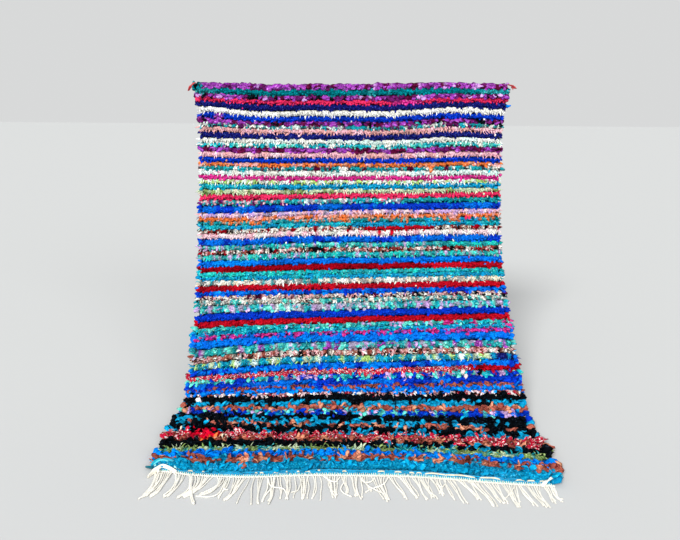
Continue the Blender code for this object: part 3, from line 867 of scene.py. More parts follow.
def knotRow(number, chance):
    # every lock of one row: its place, its turn, its size and its rag
    _, cutName, run, names = rowChart[number]
    cut = lockCuts[cutName]
    count = int(round(cloth["width"] / cut["pitch"]))
    across = (np.arange(count) + 0.5) / count * cloth["width"] - halfWidth
    across = across + chance.uniform(-0.5, 0.5, count) * cut["pitch"]
    aside = chance.uniform(-1, 1, count)
    down = knotLine(number) + rowWave(across, chance, pile["wander"])
    down = down + aside * pile["rowShare"] * rowHeights[number] + rowStray(rowMiddles[number], across)
    picked, shade = ragRuns(chance, count, names.split(), run)
    for start, end, others in patchesOf(number):
        inside = (across + chance.normal(0, pile["patchEdge"], count) > start) & (across < end)
        picked[inside] = ragRuns(chance, int(inside.sum()), others, run)[0]
    bodyRags = picked.copy()
    for i in np.flatnonzero(chance.random(count) < pile["strays"]):
        beside = min(max(number + chance.choice([-1, 1]), 0), len(rowChart) - 1)
        picked[i] = chance.choice(rowChart[beside][3].split())
    hanging = np.cos(np.interp(down, lineAlong, lineLean))

    def between(key):
        return pile[key][0] + (pile[key][1] - pile[key][0]) * hanging

    lump = rowWave(across, chance, 1.0)
    high = tableAt("heights", down)
    tilt = between("tilt") + aside * between("splay") / 2
    tilt = tilt + chance.normal(0, pile["tiltSpread"], count) + lump * pile["lumpTilt"]
    spin = chance.normal(0, 1, count) * between("spin") * cut["wild"]
    curl = between("curl") + chance.normal(0, pile["curlSpread"], count)
    size = high / cut["pile"] * chance.uniform(*pile["sizes"], count)
    size = size * (1 + lump * pile["lumpSize"]) * worn(down, across)
    broad = chance.lognormal(0, pile["breadthSpread"], count) * chance.choice([-1.0, 1.0], count)
    return {
        "cut": cutName,
        "down": down,
        "across": across,
        "lift": high * pile["rootShare"],
        "tilt": tilt,
        "spin": spin,
        "shape": np.abs(curl[:, None] - np.array(lockCurls)).argmin(axis=1),
        "size": np.stack([size * broad, size, size], axis=1),
        "rag": picked,
        "shade": shade,
        "start": pile["rootShare"],
        "bodyRags": bodyRags,
    }


def sideLocks(number, chance):
    _, cutName, _, names = rowChart[number]
    high = float(tableAt("heights", rowMiddles[number]))
    onFloor = math.sin(float(np.interp(rowMiddles[number], lineAlong, lineLean)))
    sides = np.repeat([-1.0, 1.0], rim["locks"] if rowHeights[number] > rim["thinRow"] else 1)
    count = len(sides)
    across = sides * (halfWidth - chance.uniform(*rim["inside"], count))
    down = knotLine(number) + chance.uniform(-rim["rowShare"], rim["rowShare"], count) * rowHeights[number]
    picked = [chance.choice(names.split()) for _ in sides]
    for start, end, others in patchesOf(number):
        for i in np.flatnonzero((across * 0.99 > start) & (across * 0.99 < end)):
            picked[i] = chance.choice(others)
    tilt = chance.uniform(*rim["tilt"], count)
    spin = sides * rim["spin"] + chance.normal(0, rim["spinSpread"], count)
    spin = spin - sides * rim["hanging"] * (1 - onFloor)
    size = high / lockCuts[cutName]["pile"] * chance.uniform(*rim["sizes"], count)
    place, left, right = np.array(rim["sides"]).T
    left, right = (np.interp(rowMiddles[number], place, column) for column in (left, right))
    size = size * np.where(sides < 0, left, right) * worn(down, across)
    lift = high * chance.uniform(*rim["lifts"], count)
    return dict(across=across, down=down, rag=picked, tilt=tilt, spin=spin, size=size, lift=lift)


def standingLocks(chance):
    _, _, run, names = rowChart[0]
    high = float(tableAt("heights", rowMiddles[0]))
    count = int(cloth["width"] / topLocks["pitch"])
    inset = topLocks["inset"]
    place = (np.arange(count) + 0.5) / count * (cloth["width"] - 2 * inset) - halfWidth + inset
    across = place + chance.uniform(-topLocks["jitter"], topLocks["jitter"], count)
    down = chance.uniform(*topLocks["down"], count) + rowStray(topLocks["inset"], place)
    picked = list(ragRuns(chance, count, names.split(), run)[0])
    tilt = chance.uniform(*topLocks["tilt"], count)
    spin = 180 + chance.normal(0, topLocks["spinSpread"], count)
    size = chance.uniform(*topLocks["sizes"], count) * (1 + rowWave(place, chance, topLocks["wave"]))
    lift = high * chance.uniform(*topLocks["lifts"], count)
    return dict(across=across, down=down, rag=picked, tilt=tilt, spin=spin, size=size, lift=lift)


def rimLocks(number, chance):
    # the locks that splay beyond both woven edges, and above the top one
    locks = sideLocks(number, chance)
    if number == 0:
        locks["size"] *= topLocks["besideThem"]
        above = standingLocks(chance)
        locks = {key: np.concatenate([locks[key], above[key]]) for key in locks}
    size = locks["size"]
    mirror = chance.choice([-1.0, 1.0], len(size))
    return {
        **locks,
        "cut": rowChart[number][1],
        "shape": chance.integers(*rim["curls"], len(size)),
        "size": np.stack([size * mirror, size, size], axis=1),
        "rag": np.array(locks["rag"], dtype=object),
        "shade": np.ones(len(size)),
        "start": rim["start"],
    }


def loneLocks(number, chance):
    # the locks of this row from the list of those that catch the eye, one batch for each
    batches = []
    for row, across, further, rag, size, cutName in looseLocks:
        if row != number + 1:
            continue
        down = knotLine(number) + float(rowStray(rowMiddles[number], across)) + further / 1000
        high = float(tableAt("heights", down))
        size *= high / lockCuts[cutName]["pile"]
        spin = math.copysign(lone["spin"], across) if abs(across) > lone["edge"] else 0.0
        batches.append({
            "cut": cutName,
            "down": np.array([down]),
            "across": np.array([across]),
            "lift": np.array([high * lone["liftShare"]]),
            "tilt": np.array([lone["tilt"]]),
            "spin": spin + chance.normal(0, lone["spinSpread"], 1),
            "shape": np.array([lone["curl"]]),
            "size": np.array([[size, size, size]]),
            "rag": np.array([rag], dtype=object),
            "shade": np.ones(1),
            "start": lone["start"],
        })
    return batches


def turned(tilt, spin):
    # lean over towards the foot of the cloth, then spin about the line off its face
    ct, st = np.cos(np.radians(tilt)), np.sin(np.radians(tilt))
    cs, ss = np.cos(np.radians(spin)), np.sin(np.radians(spin))
    zero = np.zeros_like(ct)
    return np.stack([
        np.stack([cs, -ss * ct, ss * st], axis=1),
        np.stack([ss, cs * ct, -cs * st], axis=1),
        np.stack([zero, st, ct], axis=1),
    ], axis=1)


def lockBatch(batch, kind, shape, chance):
    # all locks of a batch that share one shape, as arrays
    mine = np.flatnonzero(batch["shape"] == kind)
    points, quads, uvs = shape
    down, across = batch["down"][mine], batch["across"][mine]
    right, up, off = clothAxes(down, across)
    turn = np.stack([right, up, off], axis=2) @ turned(batch["tilt"][mine], batch["spin"][mine])
    placed = np.einsum("nij,nvj->nvi", turn, batch["size"][mine][:, None, :] * points[None])
    placed += onCloth(down, across, batch["lift"][mine])[:, None, :]
    keepClear(placed)
    faces = np.tile(quads, (len(mine), 1, 1)) + (np.arange(len(mine)) * len(points))[:, None, None]
    maps = np.tile(uvs, (len(mine), 1, 1, 1))
    mirrored = batch["size"][mine, 0] < 0
    faces[mirrored] = faces[mirrored][:, :, ::-1]  # a mirrored lock has its faces turned
    maps[mirrored] = maps[mirrored][:, :, ::-1]
    cut = lockCuts[batch["cut"]]
    shift = chance.uniform(0, 0.5, (len(mine), 1, 1, 2))
    # how far out along its lock each point lies, which sets its painted root shade
    reach = batch["start"] + (1 - batch["start"]) * atPoints(points, quads, uvs)[:, 1]
    shade = batch["shade"][mine, None] * chance.normal(1.0, pile["lockShade"], (len(mine), 1))
    return {
        "points": placed,
        "quads": faces,
        "bake": maps,
        "weave": maps * (2 * cut["width"], cut["length"]) + shift,
        "reach": np.tile(reach, (len(mine), 1)),
        "tint": shade * chance.normal(1.0, pile["hueSpread"], (len(mine), 3)),
        "rag": batch["rag"][mine],
        "slot": 1 if batch["cut"] in yarnCuts else 0,
    }


def packedRow(number, batch, chance):
    # a closed ridge: five points over its back and one under it, drawn together to a seam at both ends
    columns, sides = packed["columns"], packed["sides"]
    middle = knotLine(number)
    half = rowHeights[number] * packed["width"] / 2
    lumps = chance.normal(0, packed["lump"], (sides, columns + 1))
    shifts = chance.normal(0, packed["shift"], (sides, columns + 1))

    def place(u, t):
        side = np.rint(u * sides).astype(int) % sides
        column = np.rint(t * columns).astype(int)
        lump, shift = lumps[side, column], shifts[side, column]
        across = (t - 0.5) * (cloth["width"] - packed["inset"])
        angle = np.minimum(side, sides - 2) * math.pi / (sides - 2)
        over = side < sides - 1
        inner = (column > 0) & (column < columns)
        down = middle + rowWave(across, np.random.default_rng(number), pile["wander"])
        down = down + rowStray(rowMiddles[number], across)
        down = down - over * inner * (np.cos(angle) * half * (1 + 0.5 * lump) + shift)
        toEnd = np.minimum(1, (halfWidth - np.abs(across)) / packed["roundEnd"])
        endHeight = packed["endHeight"]
        rise = endHeight + (1 - endHeight) * np.sqrt(toEnd * (2 - toEnd))
        rise = tableAt("heights", down) * packed["height"] * rise
        back = np.sin(angle) ** packed["fullness"] * (1 + inner * lump)
        standing = rise * back * (side > 0) * (side < sides - 2)
        return onCloth(down, across, np.where(over, packed["lift"] + standing, packed["underLift"]))

    points, quads, uvs = asArrays(latticeShape(sides, columns, place))
    side, along = atPoints(points, quads, uvs).T
    nearest = np.abs((along[:, None] - 0.5) * cloth["width"] - batch["across"][None]).argmin(axis=1)
    # its height on the ridge, which sets the ridge's painted shade, darker low down
    height = np.sin(np.minimum(side * sides, sides - 2) * math.pi / (sides - 2)) * packed["height"]
    return {
        "points": points,
        "quads": quads,
        "uvs": uvs,
        "rag": batch["bodyRags"][nearest],
        "shade": batch["shade"][nearest],
        "height": height,
    }


def colourLayers(names, tints, reach):
    # the two colour layers that the rag materials read: cloth and reach, print and cover
    rows = [rags[name] for name in names]
    cover = np.array([row[2] for row in rows])
    base, spots = (linear([row[i] for row in rows]) for i in (0, 1))
    # pale cloth passes light on, so it gets less of the painted shade down between its neighbours
    reach = reach + (1 - reach) * np.clip(base.min(axis=1), 0, 1) * pile["paleRoots"]
    return np.column_stack([base * tints, reach]), np.column_stack([spots * tints, cover])


def lockParts(lot, made, wide, high):
    # what one lot of locks adds to its piece; each lock has a cell of its own on the bake map
    count, each = lot["points"].shape[:2]
    cell = made + np.arange(count)
    corner = np.stack([cell % wide, cell // wide], axis=1)[:, None, None, :]
    colours, prints = colourLayers(np.repeat(lot["rag"], each), np.repeat(lot["tint"], each, axis=0),
                                   lot["reach"].ravel())
    return {
        "points": lot["points"].reshape(-1, 3),
        "quads": lot["quads"].reshape(-1, 4),
        "bake": (inCell(corner, lot["bake"], "lock") / (wide, high)).reshape(-1, 2),
        "weave": lot["weave"].reshape(-1, 2),
        "rag": colours,
        "print": prints,
        "slots": np.full(count * lot["quads"].shape[1], lot["slot"], np.int32),
    }


def ridgeParts(ridge, strip, bottom, high):
    # what one packed row adds to its piece; it has a strip of its own above the locks' cells
    uvs = ridge["uvs"][..., ::-1]
    colours, prints = colourLayers(ridge["rag"], ridge["shade"][:, None], ridge["height"])
    return {
        "points": ridge["points"],
        "quads": ridge["quads"],
        "bake": (inCell((0, bottom + strip), uvs, "row") / (1, high)).reshape(-1, 2),
        "weave": (uvs * (cloth["width"], packed["girth"]) + (0, strip * packed["mapStep"])).reshape(-1, 2),
        "rag": colours,
        "print": prints,
        "slots": np.full(len(ridge["quads"]), 2, np.int32),
    }


def pileBand(name, numbers, shapes, materials):
    chance = np.random.default_rng(pile["seed"] + numbers[0])
    lots, ridges = [], []
    for number in numbers:
        row = knotRow(number, chance)
        for batch in (row, rimLocks(number, chance), *loneLocks(number, chance)):
            lots += [lockBatch(batch, kind, shape, chance) for kind, shape in enumerate(shapes[batch["cut"]])]
        ridges.append(packedRow(number, row, chance))
    lots = [lot for lot in lots if len(lot["points"])]
    total = sum(len(lot["points"]) for lot in lots)
    wide = math.ceil(math.sqrt(total))
    bottom = math.ceil(total / wide)
    high = bottom + len(ridges)
    parts = []
    made = 0
    for lot in lots:
        parts.append(lockParts(lot, made, wide, high))
        made += len(lot["points"])
    parts += [ridgeParts(ridge, strip, bottom, high) for strip, ridge in enumerate(ridges)]
    offset = 0
    for part in parts:
        part["quads"] = part["quads"] + offset
        offset += len(part["points"])
    whole = {key: np.concatenate([part[key] for part in parts]) for key in parts[0]}
    band = asMesh(name, whole["points"], whole["quads"], whole["bake"])
    putMap(band, "weave", whole["weave"])
    for layer in ("rag", "print"):
        putColours(band, layer, whole[layer].clip(0, 1))
    for material in materials:
        band.data.materials.append(material)
    band.data.polygons.foreach_set("material_index", whole["slots"])
    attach(band, "root")
    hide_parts("rug_body")
    return band, made


# Finishes.

def ragCloth():
    # torn strips of jersey and printed cotton: knit, scattered print, uneven dye, painted shade at the roots
    material, tree, shader = newMaterial("ragCloth", 0.78, 0.0)
    place = ownMap(tree, "weave")
    colour, reach = printedRag(tree, place, size=0.007)
    dye = dyed(tree, patch=45.0, amount=0.55)
    weave = use(tree, "weave", Place=place, Warp=0.0011, Weft=0.0014)
    # painted shade in the knit's gaps and towards each lock's root, with tips painted a touch lighter
    shades = [dye, ramp(tree, weave["Gap"], 0.2, 1.0, 1.0, 0.8), ramp(tree, reach, 0.0, 0.75, 0.45, 1.04)]
    finish(tree, shader, colour, shades, (dye, 0.8, 1.2, 0.85, 0.68), (weave["Height"], 0.35, 0.0006))
    return material


def ragYarn():
    # narrow twisted strips and yarn: the twist shows as ridges round each lock, with painted shade in its
    # groove
    material, tree, shader = newMaterial("ragYarn", 0.85, 0.0)
    place = ownMap(tree, "weave")
    colour, reach = printedRag(tree, place, size=0.009)
    turns = tree.nodes.new("ShaderNodeMapping")
    turns.inputs["Scale"].default_value = (60.0, 1.0, 1.0)
    feed(tree, turns.inputs["Vector"], place)
    ply = use(tree, "ply", Place=turns.outputs[0], Twist=0.006, Plies=2.0)
    # painted shade in the groove between the plies
    groove = ramp(tree, ply["Groove"], 0.0, 1.0, 1.0, 0.72)
    # painted shade towards each lock's root, with tips painted a touch lighter
    shades = [dyed(tree, patch=60.0, amount=0.4), groove, ramp(tree, reach, 0.0, 0.75, 0.45, 1.04)]
    finish(tree, shader, colour, shades, (ply["Groove"], 0.0, 1.0, 0.8, 0.95), (ply["Height"], 0.4, 0.0008))
    return material


def packedRags():
    # the pressed bodies of a row: every few millimetres another rag's fold, with painted shade where they
    # part
    material, tree, shader = newMaterial("packedRags", 0.86, 0.0)
    place = objectPlace(tree)
    colour, reach = printedRag(tree, place, size=0.007)
    tuft = use(tree, "tuft", Place=place, Size=0.0075)
    own = ramp(tree, tuft["Own"], 0.0, 1.0, 0.72, 1.18)
    # painted shade where the tufts part, and low down on the ridge
    shades = [own, ramp(tree, tuft["Gap"], 0.0, 1.0, 1.0, 0.45), ramp(tree, reach, 0.0, 0.65, 0.40, 1.0)]
    finish(tree, shader, colour, shades, (tuft["Gap"], 0.0, 1.0, 0.78, 0.95), (tuft["Height"], 0.8, 0.004))
    return material


def groundCloth():
    # the woven ground: painted shade between the locks in front, rows of knots and cream weft behind
    material, tree, shader = newMaterial("groundCloth", 0.9, 0.2)
    place = ownMap(tree, "weave")
    weave = use(tree, "weave", Place=place, Warp=0.0052, Weft=0.0030)
    stepped = tree.nodes.new("ShaderNodeCombineXYZ")
    for at, axis, knotSize in zip(splitUp(tree, place), stepped.inputs, (0.0104, 0.0125)):
        feed(tree, axis, maths(tree, "FLOOR", maths(tree, "DIVIDE", at, knotSize)))
    knots = tree.nodes.new("ShaderNodeTexWhiteNoise")
    knots.noise_dimensions = "2D"
    feed(tree, knots.inputs["Vector"], stepped.outputs[0])
    uneven = ramp(tree, knots.outputs["Value"], 0.0, 1.0, 0.72, 1.15)
    # painted shade in the gaps of the weave
    shades = [uneven, dyed(tree, patch=30.0, amount=0.5), ramp(tree, weave["Gap"], 0.3, 1.0, 1.0, 0.55)]
    finish(tree, shader, attribute(tree, "rag")["Color"], shades, (weave["Gap"], 0.0, 1.0, 0.82, 0.96),
           (weave["Height"], 0.7, 0.0012))
    return material


def hemRag():
    # the turquoise rag weft of the hem, beaten down flat, and the red rags of the ties
    material, tree, shader = newMaterial("hemRag", 0.8, 0.25)
    dye = dyed(tree, patch=38.0, amount=0.6)
    weave = use(tree, "weave", Place=ownMap(tree, "weave"), Warp=0.0014, Weft=0.0011)
    # painted shade in the gaps of the weave
    shades = [dye, ramp(tree, weave["Gap"], 0.2, 1.0, 1.0, 0.8)]
    finish(tree, shader, attribute(tree, "rag")["Color"], shades, (dye, 0.8, 1.2, 0.88, 0.7),
           (weave["Height"], 0.4, 0.0008))
    return material


def warpCotton():
    # undyed plied cotton: a helical groove between the plies, fine fibres, a little floor dust at the tips
    material, tree, shader = newMaterial("warpCotton", 0.88, 0.15)
    rag = attribute(tree, "rag")
    ply = use(tree, "ply", Place=ownMap(tree, "weave"), Twist=0.011, Plies=2.0)
    # painted shade in the groove between the plies
    shades = [dyed(tree, patch=70.0, amount=0.22), ramp(tree, ply["Groove"], 0.0, 1.0, 1.0, 0.78)]
    dusty = blend(tree, ramp(tree, rag["Alpha"], 0.6, 1.0, 0.0, 0.10), rag["Color"], (0.52, 0.47, 0.40, 1.0))
    finish(tree, shader, dusty, shades, (ply["Groove"], 0.0, 1.0, 0.82, 0.97), (ply["Height"], 0.6, 0.0009))
    return material


# The woven ground.
ground = {
    "seed": 3,
    "columns": 49,
    "knotShare": 0.45,  # share of a row that shows as knots on the back
    "weft": (214, 205, 186),
    "frontShade": 0.30,  # painted shade: how much darker the cloth is between the locks, and at the hem
    "hemShade": 0.8,
    "backShade": 0.85,
    "backLift": 0.0002,
    "ripple": 0.0006,
    "rippleTurns": (1.9, 2.1),
}


def groundLines():
    # the lines across the cloth at which its colour changes, and the row and kind of what lies between them
    lines, owners = [0.0], []
    for number, (middle, height) in enumerate(zip(rowMiddles, rowHeights)):
        for share, kind in ((ground["knotShare"] / 2, "knot"), (ground["knotShare"], "knot"), (1.0, "weft")):
            lines.append(middle + height * (share - 0.5))
            owners.append((number, kind))
    lines += [clothLength - cloth["hem"] / 2, clothLength]
    return np.array(lines), owners + [(len(rowChart) - 1, "hem")] * 2


def wovenGround(material):
    # a thin closed sheet, its front on one half of the map and its back on the other
    lines, owners = groundLines()
    columns = ground["columns"]

    def place(u, t):
        step = np.rint(u * columns * 2).astype(int)
        front = step <= columns
        column = np.where(front, step, 2 * columns - step)
        line = np.rint((1 - t) * len(owners)).astype(int)
        wave = 1 + np.sin(column * ground["rippleTurns"][0] + line * ground["rippleTurns"][1])
        lift = np.where(front, cloth["thickness"], ground["backLift"])
        lift = lift + ground["ripple"] * np.where(front, 1, 0.5) * wave
        rim = (column == 0) | (column == columns) | (line == 0) | (line == len(owners))
        lift = np.where(rim, cloth["thickness"] / 2, lift)
        return onCloth(lines[line], (column / columns - 0.5) * cloth["width"], lift)

    points, quads, uvs = asArrays(latticeShape(columns * 2, len(owners), place))
    thing = asMesh("woven_ground", points, quads, uvs)
    middle = uvs.mean(axis=1)
    line = np.clip(((1 - middle[:, 1]) * len(owners)).astype(int), 0, len(owners) - 1)
    column = (middle[:, 0] * columns * 2).astype(int)
    chance = np.random.default_rng(ground["seed"])
    names = [ragRuns(chance, columns * 2, row[3].split(), max(1, row[2] / 3))[0] for row in rowChart]
    colours = np.ones((len(quads), 4))
    for face, (at, where) in enumerate(zip(line, column)):
        number, kind = owners[at]
        rag = linear(hem["rag"] if kind == "hem" else rags[names[number][where]][0])
        if where < columns:
            # the front, which lies under the locks, is darkened by a painted shade
            shade = "frontShade" if number < len(rowChart) - 1 else "hemShade"
            colours[face, :3] = rag * ground[shade]
        elif kind == "weft":
            colours[face, :3] = linear(ground["weft"])
        else:
            colours[face, :3] = rag * ground["backShade"]
    putColours(thing, "rag", np.repeat(colours, 4, axis=0), "CORNER")
    down = lines[np.rint((1 - uvs[..., 1]) * len(owners)).astype(int)]
    across = uvs[..., 0] * cloth["width"] * 2
    putMap(thing, "weave", np.stack([across, down], axis=-1).reshape(-1, 2))
    thing.data.materials.append(material)
    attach(thing, "root")
    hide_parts("rug_body")
    return thing


# Tubes that are joined into one piece: hem wefts, twined edge, warp ends, ties and folds.
yarn = {
    "sides": 6,
    "twist": 0.022,
    "plyDepth": 0.16,
    "brushFrom": 0.94,  # where along it its end starts to fray, and how much wider that is
    "brush": 0.35,
    "mapStep": 0.0037,  # how far one tube's map lies from the next
}


def joinTubes(name, tubes, cellsWide, material, node):
    # each tube is a shape with its colour and length, and has a cell of its own on the bake map
    points, quads, bake, weave, colours = [], [], [], [], []
    offset = 0
    cellsHigh = math.ceil(len(tubes) / cellsWide)
    for i, tube in enumerate(tubes):
        shapePoints, shapeQuads, uvs = tube["shape"]
        points.append(shapePoints)
        quads.append(shapeQuads + offset)
        offset += len(shapePoints)
        corner = np.array([i % cellsWide, i // cellsWide])
        bake.append((inCell(corner, uvs, "tube") / (cellsWide, cellsHigh)).reshape(-1, 2))
        weave.append((uvs * (tube["girth"], tube["length"]) + (0, i * yarn["mapStep"])).reshape(-1, 2))
        reach = atPoints(shapePoints, shapeQuads, uvs)[:, 1]
        colours.append(np.column_stack([np.tile(tube["colour"], (len(shapePoints), 1)), reach]))
    points = np.concatenate(points)
    keepClear(points)
    thing = asMesh(name, points, np.concatenate(quads), np.concatenate(bake))
    putMap(thing, "weave", np.concatenate(weave))
    putColours(thing, "rag", np.concatenate(colours).clip(0, 1))
    thing.data.materials.append(material)
    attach(thing, "root")
    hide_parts(node)
    return thing


def smoothPath(points, steps):
    # listed points, spaced evenly along their length and rounded off
    points = np.array(points, dtype=float)
    along = np.concatenate([[0.0], np.cumsum(np.linalg.norm(np.diff(points, axis=0), axis=1))])
    evenly = np.linspace(0, along[-1], steps + 1)
    path = np.column_stack([np.interp(evenly, along, column) for column in points.T])
    for _ in range(steps // 3):
        path[1:-1] = (path[:-2] + 2 * path[1:-1] + path[2:]) / 4
    return path, float(along[-1])


def cord(path, radius, length, colour, twist=yarn["twist"], flat=1.0):
    # a cord of two plies along a path on the cloth: down, across, lift
    steps = len(path) - 1
    ahead = np.gradient(path[:, :2], axis=0)
    ahead /= np.linalg.norm(ahead, axis=1, keepdims=True)

    def place(u, t):
        at = np.rint(t * steps).astype(int)
        turn = 2 * np.pi * u
        ends = (t > 0) * (t < 1)
        out = radius * (1 + yarn["plyDepth"] * ends * np.cos(2 * (turn - 2 * np.pi * t * length / twist)))
        aside = np.cos(turn) * out * (1 + yarn["brush"] * (t > yarn["brushFrom"]))
        return onCloth(path[at, 0] - ahead[at, 1] * aside, path[at, 1] + ahead[at, 0] * aside,
                       path[at, 2] + np.sin(turn) * out * ends * flat)

    shape = asArrays(latticeShape(yarn["sides"], steps, place))
    return {"shape": shape, "girth": 1.0, "length": length, "colour": colour}


hem = {
    "seed": 8,
    "rag": (10, 158, 206),
    "paleRag": (104, 208, 214),
    "cream": (238, 230, 204),
    "wefts": 4,
    "weftPitch": 0.004,
    "weftSteps": 260,
    "lifts": (0.0032, 0.0062, 0.0090, 0.0105),
    "wander": 0.0012,
    "thick": 0.0040,
    "fill": 0.62,  # radius of a weft as a share of the pitch
    "twist": 0.011,
    "overUnder": (0.0010, 0.0076),  # how far a weft rises and falls, and over what length
    "uneven": 0.0005,
    "shades": (0.92, 1.08),
    # cream wefts that float over the turquoise: from, to across the cloth
    "floats": [
        (-0.601, -0.579), (-0.547, -0.536), (-0.351, -0.340), (-0.333, -0.318), (-0.282, -0.264),
        (-0.238, -0.231), (-0.198, -0.187), (-0.169, -0.147), (-0.122, -0.111), (-0.031, -0.013),
        (0.099, 0.128), (0.161, 0.190), (0.216, 0.237), (0.242, 0.264), (0.272, 0.352), (0.345, 0.457),
        (0.470, 0.546), (0.598, 0.632), (0.637, 0.668), (0.682, 0.708),
    ],
    "floatUp": 0.0085,  # from the end of the cloth
    "floatLift": 0.0110,
    "floatEnds": 0.55,  # height of their ends as a share of that
    "floatStep": 0.005,
    "floatWander": 0.0022,
    "floatRadii": (0.0022, 0.0030),
    "floatTwist": 0.012,
}


def hemBand(material):
    chance = np.random.default_rng(hem["seed"])
    pitch, steps = hem["weftPitch"], hem["weftSteps"]
    rise, run = hem["overUnder"]
    tubes = []
    for weft in range(hem["wefts"]):
        across = np.linspace(-halfWidth, halfWidth, steps + 1)
        down = clothLength - (weft + 0.5) * pitch + rowWave(across, chance, hem["wander"])
        lift = hem["lifts"][weft] + rise * np.sin(across * math.pi / run + weft * math.pi)
        lift = lift + chance.normal(0, hem["uneven"], steps + 1)
        colour = linear(hem["rag"] if weft else hem["paleRag"]) * chance.uniform(*hem["shades"])
        tubes.append(cord(np.column_stack([down, across, lift]), pitch * hem["fill"], cloth["width"], colour,
                          hem["twist"], hem["thick"] / pitch))
    for start, end in hem["floats"]:
        share = np.linspace(0, 1, max(8, int((end - start) / hem["floatStep"])) + 1)
        across = np.linspace(start, end, len(share))
        down = clothLength - hem["floatUp"] + rowWave(across, chance, hem["floatWander"])
        bow = hem["floatEnds"] + (1 - hem["floatEnds"]) * np.sin(math.pi * share) ** 0.4
        lift = hem["floatLift"] * bow + chance.uniform(0, 0.001)
        radius = chance.uniform(*hem["floatRadii"])
        tubes.append(cord(np.column_stack([down, across, lift]), radius, end - start, linear(hem["cream"]),
                          hem["floatTwist"]))
    return joinTubes("hem_weft", tubes, 1, material, "rug_body")


# The white edge and the warp ends.
edge = {
    "seed": 12,
    "gap": 0.0003,
    "width": 0.009,
    "lift": 0.0028,
    "plyRadius": 0.0023,
    # the second ply is painted darker, a painted shade that sets the two white plies apart
    "plyShades": (1.0, 0.84),
    "plySway": (0.95, 0.62),  # how far the plies wind sideways and up, as shares of their radius
    "plyFlat": 0.72,
    "twinePitch": 0.0156,
    "stepsPerTurn": 10,
    "wander": 0.0006,
    # the stitches up into the hem
    "stitch": 0.0105,
    "stitchRange": (0.6, 1.25),
    "stitchLifts": (0.0046, 0.0066, 0.0072),  # at its root, its middle and its end
    "stitchRadius": 0.0014,
    "stitchShades": (0.85, 1.0),
    "stitchStray": 0.0008,
    "stitchLean": 0.0012,
}

